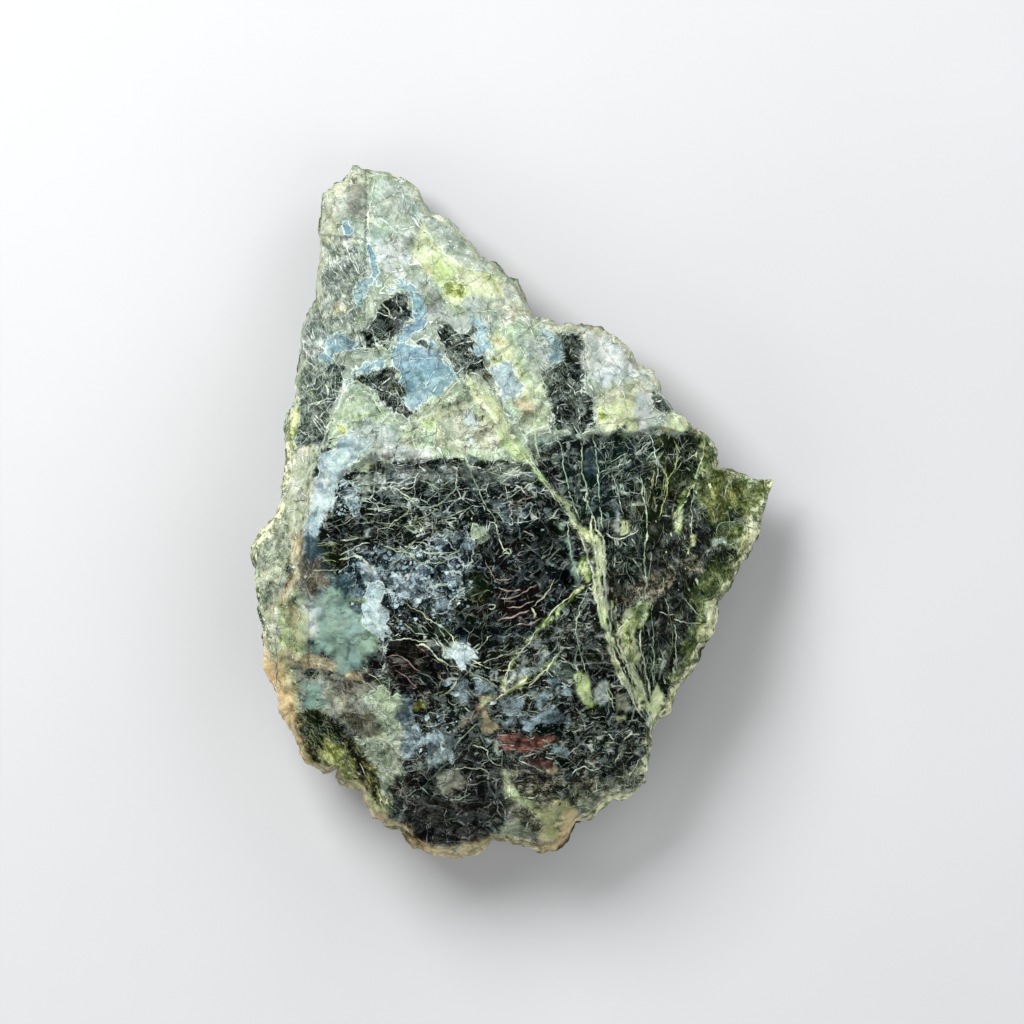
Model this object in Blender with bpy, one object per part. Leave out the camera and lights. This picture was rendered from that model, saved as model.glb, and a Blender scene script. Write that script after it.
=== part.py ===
"""Antigorite: one lump of the platy green mineral, lying on its back.

The broken face looks up (+Z) and the tapered horn points along +Y. The stone is a cube whose faces
are bent into shape: the top becomes the face, the sides the broken rim, and the underside a cleavage
plane with a flat middle that the stone rests on.
"""
import itertools
import math

import bmesh
import bpy
import numpy as np

MM = 0.001

# ---- The stone's driving sizes, in mm ------------------------------------------------------------

# The rim seen from above, clockwise from the tip of the horn.
RIM = [
    (-23.9, 52.1), (-23.2, 52.1), (-22.6, 51.5), (-18.5, 51.1), (-17.8, 50.5), (-16.7, 50.6),
    (-14.2, 49), (-13.4, 47), (-12.2, 45.5), (-9.7, 44.2), (-5.3, 40), (-4.4, 38.5), (-2.6, 37.7),
    (-0.5, 35.3), (0.8, 34.9), (2.6, 30.7), (3.1, 29.2), (5.5, 28.9), (7.3, 27.8), (8.3, 28.4),
    (13.3, 27.7), (14.5, 26.8), (15.2, 26.8), (17.5, 25), (19.3, 22.3), (21.1, 21.4), (24.7, 15.2),
    (25.7, 14.9), (27.4, 12.7), (28.4, 13.1), (29.8, 12.4), (31.3, 9.4), (31.6, 7), (33.4, 6.8),
    (36.2, 5), (38.8, 5), (39.2, 4.6), (37.3, -1), (37.1, -2.6), (35.3, -7), (34.4, -7.4),
    (32.9, -11.6), (31.3, -13.4), (30.2, -17.9), (28.4, -20.6), (28.1, -22.1), (24.4, -26.6),
    (23.8, -29.6), (20.9, -32.8), (20.9, -38.6), (20.3, -39.8), (20.5, -40.7), (18.5, -42.4),
    (16.3, -43.1), (15.1, -42.8), (12.1, -45.5), (9.7, -46.7), (8.5, -49.1), (6.7, -50.9),
    (5.2, -50.6), (4.3, -51.2), (2.3, -50.2), (-1.7, -49.3), (-2.9, -49.6), (-5.2, -51.2),
    (-9.2, -52.1), (-12.5, -51.7), (-15.2, -50), (-16.7, -47.8), (-19, -47), (-19.6, -46),
    (-20.8, -46), (-22.7, -41.8), (-25.7, -41), (-26.6, -40.1), (-26.5, -38.8), (-28.4, -39.4),
    (-31.7, -37.3), (-32.8, -33.1), (-34.9, -29.6), (-35.3, -26.6), (-37.1, -23.3), (-37.7, -16.9),
    (-38.5, -14.5), (-38.3, -13.1), (-39.2, -8.6), (-38.9, -4.9), (-37.4, -2.3), (-35.3, -0.4),
    (-33.7, 7.9), (-34.3, 12.4), (-32.8, 18.4), (-32.9, 19.9), (-32.5, 21.1), (-32.2, 26.2),
    (-30.7, 30.4), (-29.5, 32.2), (-28.7, 39.4), (-29.5, 43.1), (-28.3, 47.9), (-25.1, 50.3),
]
HEART = np.array([-4.0, -7.0])      # every place on the rim is seen from here

# Broken faces of the top: x, y and height of a place on each, the way it falls, and mm fallen per mm.
TOP_FACES = {
    "front": (-6, -13, 31.0, 0, 0.0),
    "horn": (-17, 12, 30.0, 97, 0.50),
    "horn_right": (-13.7, 42.4, 14.9, 67, 1.05),
    "upper_right": (15, 12.1, 26.5, 51, 1.09),
    "wing": (13.3, -7.1, 30.0, 10, 0.70),
    "wing_lower": (18, -18, 28.0, -40, 0.80),
    "left_flank": (-30, -10, 30.0, 168, 1.53),
    "lower_left": (-19, -28, 29.0, 217, 0.90),
    "foot": (-5, -28, 30.0, -90, 0.50),
    "toe": (-5, -43, 22.5, -90, 1.30),
}
ARRIS = 0.35                        # how far the edge between two faces is worn round
ARRIS_WANDER = 1.3                  # how far the edges between the faces wander
ARRIS_WAVES = (7, 2.5)
SMALL_WAVE = 0.4                    # how high the shorter wave is beside the longer

# Faces of the underside: x and y of a place where each leaves the flat, the way it rises, mm per mm.
UNDER_FACES = {
    "wing": (18, -5, 10, 0.42),
    "horn": (-15, 18, 100, 0.16),
    "left": (-28, -10, 180, 0.60),
    "toe": (-5, -38, -90, 0.50),
    "upper_right": (12, 14, 50, 0.40),
    "lower_right": (15, -25, -35, 0.50),
    "lower_left": (-20, -34, 220, 0.50),
}
LEAST_THICK = 1.3                   # the rim is never thinner than this

# The middle layer of the face: its top edge is an arched ledge, its right edge the main vein.
LEDGE = [(-31.7, -7.1), (-31, 4.5), (-28.5, 10.5), (-26.5, 14), (-25, 17), (-23.2, 18.7),
         (-21, 17.3), (-19.7, 15), (-16.7, 12.7), (-13, 15.4), (-9.2, 19), (-6.2, 20.4),
         (-3.2, 19.2), (-1, 16), (2.8, 10.8), (11.8, -7), (18.1, -25.1), (22.1, -34), (22, -60),
         (-50, -60), (-50, -7.1)]
LEDGE_STEP = 1.6
LEDGE_EDGE = 0.8
# The dark hollow that has broken out of the middle layer, and the shell-like rings in it.
BOWL = [(-27.5, 4.5), (-22, 7.8), (-17, 9.3), (-9.7, 7), (-2, 6.2), (3.5, 2.2), (7.7, -5),
        (9.5, -11), (6, -16.5), (1, -22.5), (-4, -27.3), (-12, -31.5), (-17, -25), (-19.5, -20),
        (-21.5, -13), (-24, -8.5), (-29, -6), (-30.5, -1)]
BOWL_STEP = 1.3
BOWL_EDGE = 1.2
BOWL_DISH = 1.4                     # how much deeper its middle is
BOWL_CENTRE = (-5.5, -9)
BOWL_REACH = 17
RING_CENTRE = (-1.5, 9)
RING_APART = 2.6
RING_HEIGHT = 0.28

# Veins standing out of the face: the line each follows, its height and its half width.
MAIN_VEIN = [(-6.2, 19.8), (-2.5, 13.9), (0.5, 9.4), (4.3, 4.9), (7.3, 1.1), (9.1, -1.9),
             (10.3, -4.9), (12.1, -9.4), (13.3, -13.1), (14.3, -16.1), (16.3, -20.6),
             (18.1, -25.1), (20, -28.9), (21.1, -31.9)]
BRANCH_VEIN = [(11.8, -11.6), (7.3, -15.4), (2.8, -20.6), (-1, -26.6), (-3.2, -28.1),
               (-7.7, -31.9), (-12.2, -37.1), (-16.7, -41.6)]
WING_VEIN = [(20, 4.9), (20.3, -1.1), (20, -10.1), (20.5, -19.1)]
VEINS = [(MAIN_VEIN, 1.3, 1.0), (BRANCH_VEIN, 0.6, 0.7), (WING_VEIN, 0.4, 0.7)]
VEIN_RAGGED = 0.5

# Lumps on the face: x, y, half width and height.
LUMPS = [(-6.2, 19.6, 2.6, 1.6), (13, -9.5, 1.5, 1.2), (19.3, -13.9, 1.3, 1.0), (18.5, -19.9, 1.4, 0.9),
         (21.5, -28.1, 1.3, 0.9), (11.5, -26.3, 1.4, 1.2), (-22.5, 17, 2.2, 0.8), (29.8, 9.6, 2, 1.0),
         (17, 15, 2.4, 0.8), (6, 26, 2, 0.9), (-9, 36.5, 2.2, 0.8), (-32, 16, 1.8, 1.0),
         (-24.5, -37, 2.4, 0.9), (6.5, -47, 2.2, 0.9), (-12, -48.5, 2.6, 0.8)]
LUMP_RAGGED = 0.6

# Rough breakage: ridges, and the edges of thin plates.
RIDGE_SIZE = 4.2
RIDGE = 0.33
RIDGE_SEED = 17
PLATE_STEP = 0.9                    # height of the edges of the thin plates flaked off the face
PLATE_DEPTH = 0.8                   # part of that height that is left after wear

# Steps between broken faces: outline, how far what is inside stands up or down, width of its edge.
STEPS = [
    ([(11, 11.8), (16, 12.1), (19, 11.7), (22, 12.2), (26.5, 11.9), (28, 13.5), (40, 30), (8, 40),
      (10.5, 27), (11.5, 20), (12.8, 15)], 1.5, 0.6),
    ([(6.6, 27), (10.5, 27), (11, 20), (12, 16), (12.8, 13), (9, 12.6), (5.6, 16), (5, 20), (7, 23)],
     -0.9, 0.7),
    ([(-30.5, 19.5), (-27, 22.5), (-24.8, 22), (-26.5, 14.5), (-28, 10.5), (-31.5, 10), (-32.5, 15)],
     -0.8, 0.6),
    ([(-22, 25.5), (-19.5, 32), (-16.5, 33), (-14.5, 29.5), (-18, 24.8), (-22, 24.5)], -0.5, 0.6),
    ([(-11, 28), (-6.5, 27.5), (-5, 23.5), (-8, 21), (-11, 24)], -0.5, 0.6),
    ([(-24, 20.5), (-17, 21), (-15, 18), (-18, 15), (-22, 18)], -0.6, 0.6),
    ([(32, 6.5), (40, 8), (38, -3), (34.5, -1)], -0.7, 0.6),
    ([(16.5, -13), (20, -12), (19, -16), (16.5, -22), (18, -30), (15.5, -22)], 0.8, 0.6),
]
STEP_RAGGED = 0.8

# Unevenness: size across and height in mm, and seed.
RAGGED = [(5, 0.9, 40), (2.2, 0.4, 43)]
SWELLS = [(17, 1.5, 11), (6.5, 0.75, 14)]
FLAKED = [(12, 1.4, 21), (4, 0.5, 24)]
RING_BEND = [(9, 2.0, 50)]
LAYER_BEND = [(20, 1.2, 71)]
UNDER_ROUGH = [(9, 0.9, 31), (4, 0.5, 34)]
CHIPPED = [(5.5, 0.8, 61), (2.6, 0.4, 64)]
UNDER_LEVEL = 50.0                  # level that the underside's unevenness is read at

# Cleavage layers through the whole stone: how thick, how they tilt, and how far their edges stick out.
LAYER_THICK = 2.9
LAYER_TILT = (0.10, -0.06)
LAYER_LEDGE = 0.35                  # part of a layer's thickness that sloping faces are stepped by
LAYER_REACH = 1.5
LAYER_CHIP = 9
LAYER_SEED = 81

# The rim's side wall, as parts of the way in to the heart.
WALL_TOP_INSET = 0.035
WALL_UNDER_INSET = 0.085
FULL_WALL = 10                      # wall height in mm from which the layers stand out in full
UNDER_BLEND = 2                     # height in mm over which the flat underside turns uneven

CUTS = 120                          # lines cut across the top of the cube
WALL_ROWS = 22                      # rows that its sides are cut into
FACETS = 9400                       # triangles left on the finished stone

STONE_GREEN = (0.055, 0.085, 0.050, 1.0)


# ---- Small tools ---------------------------------------------------------------------------------

def ease(value):
    """0 below 0, 1 above 1, and an even curve between."""
    value = np.clip(value, 0, 1)
    return value * value * (3 - 2 * value)


def cell_random(cell, seed):
    """A number from 0 to 1 for each whole-numbered cell of space."""
    mixed = np.sin(cell @ np.array([127.1, 311.7, 74.7]) + seed * 17.31) * 43758.5453
    return mixed - np.floor(mixed)


def soft_noise(points, size, seed):
    """Gradient noise: random slopes at the corners of cubes `size` across, blended; about -1 to 1."""
    scaled = points / size
    cell = np.floor(scaled)
    part = scaled - cell
    blend = part ** 3 * (part * (part * 6 - 15) + 10)
    total = np.zeros(len(points))
    for corner in itertools.product((0, 1), repeat=3):
        corner = np.array(corner)
        weight = np.prod(np.where(corner == 1, blend, 1 - blend), axis=1)
        slope = np.stack([cell_random(cell + corner, seed + axis) for axis in range(3)], axis=1)
        total += weight * np.sum((part - corner) * (2 * slope - 1), axis=1)
    return total * 1.7


def uneven(points, layers):
    """Noise of several sizes laid over each other."""
    return sum(height * soft_noise(points, size, seed) for size, height, seed in layers)


def distance_to_line(places, line):
    """Shortest way in mm from each place to a line drawn through the listed places."""
    nearest = np.full(len(places), 1e9)
    for start, end in zip(line, line[1:]):
        start = np.array(start, float)
        run = np.array(end, float) - start
        along = np.clip((places - start) @ run / (run @ run), 0, 1)
        gap = np.linalg.norm(places - start - along[:, None] * run, axis=1)
        nearest = np.minimum(nearest, gap)
    return nearest


def depth_inside(places, outline):
    """How far in mm each place lies inside an outline; negative outside."""
    inside = np.zeros(len(places), bool)
    x, y = places.T
    closed = outline + outline[:1]
    for (x0, y0), (x1, y1) in zip(closed, closed[1:]):
        spans = (y0 > y) != (y1 > y)
        run = (y1 - y0) if y1 != y0 else 1e-9
        inside ^= spans & (x < x0 + (x1 - x0) * (y - y0) / run)
    return np.where(inside, 1, -1) * distance_to_line(places, closed)


def rim_place(part_way):
    """The place on the rim that lies this part of the way round it, by length."""
    corners = np.array(RIM + RIM[:1])[::-1]
    length = np.append(0, np.cumsum(np.linalg.norm(np.diff(corners, axis=0), axis=1)))
    at = part_way * length[-1]
    return np.stack([np.interp(at, length, corners[:, 0]), np.interp(at, length, corners[:, 1])], axis=1)


def layer_at(points):
    """Which cleavage layer each point is in, and how far up in it the point is, from 0 to 1."""
    bent = points[:, 2] + points[:, :2] @ np.array(LAYER_TILT) + uneven(points, LAYER_BEND)
    level = bent / LAYER_THICK
    layer = np.floor(level)
    return layer, level - layer


# ---- The shape -----------------------------------------------------------------------------------

def broken_faces(places):
    """Height of the lowest of the top's tilted planes at each place, with worn edges between them."""
    x, y = places.T
    flat = np.column_stack([places, np.zeros(len(places))])
    long_wave, short_wave = ARRIS_WAVES
    total = 0
    for at_x, at_y, height, turn, fall in TOP_FACES.values():
        turn = math.radians(turn)
        away = (x - at_x) * math.cos(turn) + (y - at_y) * math.sin(turn)
        wander = soft_noise(flat, long_wave, at_x) + SMALL_WAVE * soft_noise(flat, short_wave, at_y)
        total = total + np.exp(-(height - fall * away + ARRIS_WANDER * wander) / ARRIS)
    return -ARRIS * np.log(total)


def top_height(places):
    """The broken face: tilted planes, the ledge, the hollow with its rings, the steps, the veins and
    the lumps."""
    flat = np.column_stack([places, np.zeros(len(places))])
    ragged = uneven(flat, RAGGED)
    height = broken_faces(places)
    height += LEDGE_STEP * (ease((depth_inside(places, LEDGE) + ragged) / LEDGE_EDGE) - 1)
    in_bowl = ease((depth_inside(places, BOWL) + ragged) / BOWL_EDGE)
    from_middle = np.linalg.norm(places - np.array(BOWL_CENTRE), axis=1) / BOWL_REACH
    height -= in_bowl * (BOWL_STEP + BOWL_DISH * ease(1 - from_middle))
    from_rings = np.linalg.norm(places - np.array(RING_CENTRE), axis=1) + uneven(flat, RING_BEND)
    height += in_bowl * RING_HEIGHT * (1 - abs(np.sin(from_rings * math.pi / RING_APART)))
    for outline, rise, edge in STEPS:
        height += rise * ease((depth_inside(places, outline) + ragged * STEP_RAGGED) / edge + 0.5)
    for line, tall, half_width in VEINS:
        gap = distance_to_line(places + VEIN_RAGGED * ragged[:, None], line)
        height += tall * np.exp(-(gap / half_width) ** 2)
    for x, y, half_width, tall in LUMPS:
        gap = np.linalg.norm(places - np.array([x, y]), axis=1) + ragged * LUMP_RAGGED
        height += tall * np.exp(-(gap / half_width) ** 2)
    ridges = RIDGE * (1 - 2.2 * abs(soft_noise(flat, RIDGE_SIZE, RIDGE_SEED)))
    plates = uneven(flat, FLAKED)
    level = plates / PLATE_STEP
    stepped = PLATE_STEP * (np.floor(level) + ease((level - np.floor(level)) * 4)) - plates
    height += uneven(flat, SWELLS) + ridges + stepped * PLATE_DEPTH
    _, part = layer_at(np.column_stack([places, height]))
    return height + LAYER_LEDGE * LAYER_THICK * (ease(part * 1.6 - 0.3) - part)


def underside_height(places):
    """The cleavage plane: nought in the flat middle, and tilted planes that rise to the rim."""
    x, y = places.T
    height = np.zeros(len(places))
    for at_x, at_y, turn, rise in UNDER_FACES.values():
        turn = math.radians(turn)
        away = (x - at_x) * math.cos(turn) + (y - at_y) * math.sin(turn)
        height = np.maximum(height, rise * away)
    level = np.column_stack([places, np.full(len(places), UNDER_LEVEL)])
    return height + uneven(level, UNDER_ROUGH) * ease(height / UNDER_BLEND)


def bend_cube(corners):
    """Where each point of the cube goes: out from the heart to the rim, between underside and top."""
    u, v, w = corners.T
    outward = np.maximum(abs(u), abs(v))
    rim = rim_place(np.arctan2(v, u) / (2 * math.pi) % 1)
    drop = (1 - w) / 2
    inset = np.where(drop < 0.5, WALL_TOP_INSET, WALL_UNDER_INSET) * (2 * drop - 1) ** 2
    places = HEART + (outward * (1 - inset))[:, None] * (rim - HEART)
    under = underside_height(places)
    top = np.maximum(top_height(places), under + LEAST_THICK)
    thick = top - under
    points = np.column_stack([places, top - drop * thick])
    layer, part = layer_at(points)
    edges = [soft_noise(np.column_stack([places, LAYER_CHIP * 3.7 * (layer + step)]), LAYER_CHIP, LAYER_SEED)
             for step in (0, 1)]
    edge = edges[0] + (edges[1] - edges[0]) * ease(part * 4 - 3)
    on_wall = outward ** 8 * ease(2.5 * np.sin(math.pi * drop)) * ease(thick / FULL_WALL)
    push = on_wall * np.minimum(LAYER_REACH * (edge - 0.25) + uneven(points, CHIPPED), 0)
    away = (rim - HEART) / np.linalg.norm(rim - HEART, axis=1)[:, None]
    points[:, :2] += away * push[:, None]
    return points


# ---- Making the object ---------------------------------------------------------------------------

def clear_scene():
    """Start from an empty scene."""
    for thing in list(bpy.data.objects):
        bpy.data.objects.remove(thing, do_unlink=True)


def stone_material():
    """Dark green, waxy, half-polished mineral."""
    material = bpy.data.materials.new("antigorite_green")
    material.use_nodes = True
    shader = material.node_tree.nodes["Principled BSDF"]
    shader.inputs["Base Color"].default_value = STONE_GREEN
    shader.inputs["Roughness"].default_value = 0.42
    shader.inputs["Metallic"].default_value = 0.0
    material.diffuse_color = STONE_GREEN
    return material


def make_stone(collection):
    """A finely cut cube, bent into the stone, and then broken down to flat facets."""
    shape = bmesh.new()
    bmesh.ops.create_cube(shape, size=2)
    upright = [edge for edge in shape.edges if edge.verts[0].co.z != edge.verts[1].co.z]
    bmesh.ops.subdivide_edges(shape, edges=upright, cuts=WALL_ROWS - 1)
    level = [edge for edge in shape.edges if abs(edge.verts[0].co.z - edge.verts[1].co.z) < 1e-6]
    bmesh.ops.subdivide_edges(shape, edges=level, cuts=CUTS, use_grid_fill=True)
    corners = np.array([corner.co for corner in shape.verts])
    points = bend_cube(corners)
    middle = (points.min(axis=0) + points.max(axis=0)) / 2
    points -= (middle[0], middle[1], points[:, 2].min())
    for corner, point in zip(shape.verts, points * MM):
        corner.co = point
    bmesh.ops.triangulate(shape, faces=shape.faces[:])
    mesh = bpy.data.meshes.new("stone")
    shape.to_mesh(mesh)
    facets = len(shape.faces)
    shape.free()
    mesh.materials.append(stone_material())
    stone = bpy.data.objects.new("stone", mesh)
    collection.objects.link(stone)
    fewer = stone.modifiers.new("facets", "DECIMATE")
    fewer.ratio = FACETS / facets
    return stone


def main():
    clear_scene()
    collection = bpy.data.collections.new("antigorite")
    bpy.context.scene.collection.children.link(collection)
    make_stone(collection)


main()
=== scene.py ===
"""The finish of a lump of antigorite, lying on its back with its broken face up.

The stone is one surface worked out on a grid: a top of tilted broken faces, a rim wall of cleavage
layers and a flat underside. Lengths are in mm until they go into a mesh. Outlines of places on the
face are drawn on a sheet ruled in ticks of 0.15 mm, counted from its top left corner.
"""
import itertools
import math

import bpy
import numpy as np
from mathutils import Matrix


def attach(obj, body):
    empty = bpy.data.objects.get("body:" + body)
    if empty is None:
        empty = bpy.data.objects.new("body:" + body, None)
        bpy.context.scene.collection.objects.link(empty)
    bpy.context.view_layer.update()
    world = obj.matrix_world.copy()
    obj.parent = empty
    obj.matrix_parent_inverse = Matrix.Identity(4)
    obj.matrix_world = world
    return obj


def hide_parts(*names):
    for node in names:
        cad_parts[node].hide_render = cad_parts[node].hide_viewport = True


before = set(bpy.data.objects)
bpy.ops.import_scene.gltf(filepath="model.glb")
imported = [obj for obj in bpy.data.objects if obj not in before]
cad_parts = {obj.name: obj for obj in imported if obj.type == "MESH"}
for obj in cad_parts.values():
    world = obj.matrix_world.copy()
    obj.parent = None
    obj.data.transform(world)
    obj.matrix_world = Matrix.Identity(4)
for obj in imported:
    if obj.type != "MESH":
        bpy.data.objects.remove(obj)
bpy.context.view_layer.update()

MM = 0.001
TICK = 0.15
SHEET_MIDDLE = (511.5, 512.5)


def corners(text):
    """The corners of an outline or of a line, each written as numbers with commas between them."""
    return [tuple(map(float, corner.split(","))) for corner in text.split()]


# ---- Shape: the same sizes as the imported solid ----

RIM = corners("""-23.9,52.1 -23.2,52.1 -22.6,51.5 -18.5,51.1 -17.8,50.5 -16.7,50.6 -14.2,49 -13.4,47
    -12.2,45.5 -9.7,44.2 -5.3,40 -4.4,38.5 -2.6,37.7 -.5,35.3 .8,34.9 2.6,30.7 3.1,29.2 5.5,28.9 7.3,27.8
    8.3,28.4 13.3,27.7 14.5,26.8 15.2,26.8 17.5,25 19.3,22.3 21.1,21.4 24.7,15.2 25.7,14.9 27.4,12.7
    28.4,13.1 29.8,12.4 31.3,9.4 31.6,7 33.4,6.8 36.2,5 38.8,5 39.2,4.6 37.3,-1 37.1,-2.6 35.3,-7 34.4,-7.4
    32.9,-11.6 31.3,-13.4 30.2,-17.9 28.4,-20.6 28.1,-22.1 24.4,-26.6 23.8,-29.6 20.9,-32.8 20.9,-38.6
    20.3,-39.8 20.5,-40.7 18.5,-42.4 16.3,-43.1 15.1,-42.8 12.1,-45.5 9.7,-46.7 8.5,-49.1 6.7,-50.9
    5.2,-50.6 4.3,-51.2 2.3,-50.2 -1.7,-49.3 -2.9,-49.6 -5.2,-51.2 -9.2,-52.1 -12.5,-51.7 -15.2,-50
    -16.7,-47.8 -19,-47 -19.6,-46 -20.8,-46 -22.7,-41.8 -25.7,-41 -26.6,-40.1 -26.5,-38.8 -28.4,-39.4
    -31.7,-37.3 -32.8,-33.1 -34.9,-29.6 -35.3,-26.6 -37.1,-23.3 -37.7,-16.9 -38.5,-14.5 -38.3,-13.1
    -39.2,-8.6 -38.9,-4.9 -37.4,-2.3 -35.3,-.4 -33.7,7.9 -34.3,12.4 -32.8,18.4 -32.9,19.9 -32.5,21.1
    -32.2,26.2 -30.7,30.4 -29.5,32.2 -28.7,39.4 -29.5,43.1 -28.3,47.9 -25.1,50.3""")
HEART = np.array([-4.0, -7.0])
TOP_FACES = {
    "front": (-6, -13, 31.0, 0, 0.0),
    "horn": (-17, 12, 30.0, 97, 0.50),
    "horn_right": (-13.7, 42.4, 14.9, 67, 1.05),
    "upper_right": (15, 12.1, 26.5, 51, 1.09),
    "wing": (13.3, -7.1, 30.0, 10, 0.70),
    "wing_lower": (18, -18, 28.0, -40, 0.80),
    "left_flank": (-30, -10, 30.0, 168, 1.53),
    "lower_left": (-19, -28, 29.0, 217, 0.90),
    "foot": (-5, -28, 30.0, -90, 0.50),
    "toe": (-5, -43, 22.5, -90, 1.30),
}
ARRIS = 0.35  # how far the edge between two faces is worn round
ARRIS_WANDER = 1.3  # how far the edges between the faces wander
ARRIS_WAVES = (7, 2.5)
SMALL_WAVE = 0.4  # how high the shorter wave is beside the longer
STEPS = [  # outline, how far it stands up or down, width of its edge
    ("11,11.8 16,12.1 19,11.7 22,12.2 26.5,11.9 28,13.5 40,30 8,40 10.5,27 11.5,20 12.8,15", 1.5, 0.6),
    ("6.6,27 10.5,27 11,20 12,16 12.8,13 9,12.6 5.6,16 5,20 7,23", -0.9, 0.7),
    ("-30.5,19.5 -27,22.5 -24.8,22 -26.5,14.5 -28,10.5 -31.5,10 -32.5,15", -0.8, 0.6),
    ("-22,25.5 -19.5,32 -16.5,33 -14.5,29.5 -18,24.8 -22,24.5", -0.5, 0.6),
    ("-11,28 -6.5,27.5 -5,23.5 -8,21 -11,24", -0.5, 0.6),
    ("-24,20.5 -17,21 -15,18 -18,15 -22,18", -0.6, 0.6),
    ("32,6.5 40,8 38,-3 34.5,-1", -0.7, 0.6),
    ("16.5,-13 20,-12 19,-16 16.5,-22 18,-30 15.5,-22", 0.8, 0.6),
]
STEP_RAGGED = 0.8
UNDER_FACES = {
    "wing": (18, -5, 10, 0.42),
    "horn": (-15, 18, 100, 0.16),
    "left": (-28, -10, 180, 0.60),
    "toe": (-5, -38, -90, 0.50),
    "upper_right": (12, 14, 50, 0.40),
    "lower_right": (15, -25, -35, 0.50),
    "lower_left": (-20, -34, 220, 0.50),
}
LEAST_THICK = 1.3  # the rim is never thinner than this
LEDGE = corners("""-31.7,-7.1 -31,4.5 -28.5,10.5 -26.5,14 -25,17 -23.2,18.7 -21,17.3 -19.7,15 -16.7,12.7
    -13,15.4 -9.2,19 -6.2,20.4 -3.2,19.2 -1,16 2.8,10.8 11.8,-7 18.1,-25.1 22.1,-34 22,-60 -50,-60
    -50,-7.1""")
LEDGE_STEP = 1.6
LEDGE_EDGE = 0.8
BOWL = corners("""-27.5,4.5 -22,7.8 -17,9.3 -9.7,7 -2,6.2 3.5,2.2 7.7,-5 9.5,-11 6,-16.5 1,-22.5 -4,-27.3
    -12,-31.5 -17,-25 -19.5,-20 -21.5,-13 -24,-8.5 -29,-6 -30.5,-1""")
BOWL_STEP = 1.3
BOWL_EDGE = 1.2
BOWL_DISH = 1.4  # how much deeper its middle is
BOWL_CENTRE = (-5.5, -9)
BOWL_REACH = 17
RING_CENTRE = (-1.5, 9)
RING_APART = 2.6
RING_HEIGHT = 0.28
MAIN_VEIN = corners("""-6.2,19.8 -2.5,13.9 .5,9.4 4.3,4.9 7.3,1.1 9.1,-1.9 10.3,-4.9 12.1,-9.4 13.3,-13.1
    14.3,-16.1 16.3,-20.6 18.1,-25.1 20,-28.9 21.1,-31.9""")
BRANCH_VEIN = corners("""11.8,-11.6 7.3,-15.4 2.8,-20.6 -1,-26.6 -3.2,-28.1 -7.7,-31.9 -12.2,-37.1
    -16.7,-41.6""")
WING_VEIN = corners("20,4.9 20.3,-1.1 20,-10.1 20.5,-19.1")
VEINS = [(MAIN_VEIN, 1.3, 1.0), (BRANCH_VEIN, 0.6, 0.7), (WING_VEIN, 0.4, 0.7)]  # height, half width
VEIN_RAGGED = 0.5
# Each place, half width and height.
LUMPS = corners("""-6.2,19.6,2.6,1.6 13,-9.5,1.5,1.2 19.3,-13.9,1.3,1 18.5,-19.9,1.4,.9 21.5,-28.1,1.3,.9
    11.5,-26.3,1.4,1.2 -22.5,17,2.2,.8 29.8,9.6,2,1 17,15,2.4,.8 6,26,2,.9 -9,36.5,2.2,.8 -32,16,1.8,1
    -24.5,-37,2.4,.9 6.5,-47,2.2,.9 -12,-48.5,2.6,.8""")
LUMP_RAGGED = 0.6
RIDGE_SIZE = 4.2
RIDGE = 0.33
RIDGE_SEED = 17
PLATE_STEP = 0.9  # height of the edges of the thin plates flaked off the face
PLATE_DEPTH = 0.8  # part of that height that is left after wear

# Unevenness: size across and height in mm, and seed.
RAGGED = [(5, 0.9, 40), (2.2, 0.4, 43)]
SWELLS = [(17, 1.5, 11), (6.5, 0.75, 14)]
FLAKED = [(12, 1.4, 21), (4, 0.5, 24)]
RING_BEND = [(9, 2.0, 50)]
LAYER_BEND = [(20, 1.2, 71)]
UNDER_ROUGH = [(9, 0.9, 31), (4, 0.5, 34)]
CHIPPED = [(5.5, 0.8, 61), (2.6, 0.4, 64)]
UNDER_LEVEL = 50.0  # level that the underside's unevenness is read at

# Cleavage layers: how thick, how they tilt, and how far their edges stick out of the side wall.
LAYER_THICK = 2.9
LAYER_TILT = (0.10, -0.06)
LAYER_LEDGE = 0.35  # part of a layer's thickness that sloping faces are stepped by
LAYER_REACH = 1.5
LAYER_CHIP = 9
LAYER_SEED = 81
WALL_TOP_INSET = 0.035  # parts of the way in to the heart
WALL_UNDER_INSET = 0.085
FULL_WALL = 10  # wall height in mm from which the layers stand out in full
UNDER_BLEND = 2  # height in mm over which the flat underside turns uneven

# ---- What is too fine for the solid ----

PLATE_BEND = ([(2.5, 0.8, 90)], [(2.5, 0.8, 95)])  # unevenness along X and along Y
SMALL_CLOSER = 1.3  # how many times closer the small plates lie than their size says
LARGE_PLATES = (3.4, 0.34, 0.4, 101)  # size, height and width of the edge in mm, and seed
SMALL_PLATES = (1.5, 0.16, 0.25, 111)
RIB_ACROSS = 0.9
RIB_ALONG = 6.0
RIB_HEIGHT = 0.20
RIB_SEED = 121
CRUMB = (1.1, 0.12, 131)  # size and height in mm, and seed
WALL_RIDGES = (1.3, 0.3, 67)
WALL_GRIT = (0.8, 0.15, 68)
FINE_WALL = 4  # wall height in mm from which its ridges stand out in full

TOP_CELLS = 256
WALL_ROWS = 24
UNDER_RINGS = [(0.985, 2), (0.965, 2), (0.93, 1), (0.89, 1), (0.85, 1), (0.80, 1), (0.75, 1),
               (0.70, 1), (0.64, 1), (0.58, 1), (0.52, 1), (0.45, 2), (0.38, 1), (0.30, 1),
               (0.22, 2), (0.14, 1), (0.07, 2)]  # part of the way out, how many times fewer points

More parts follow.
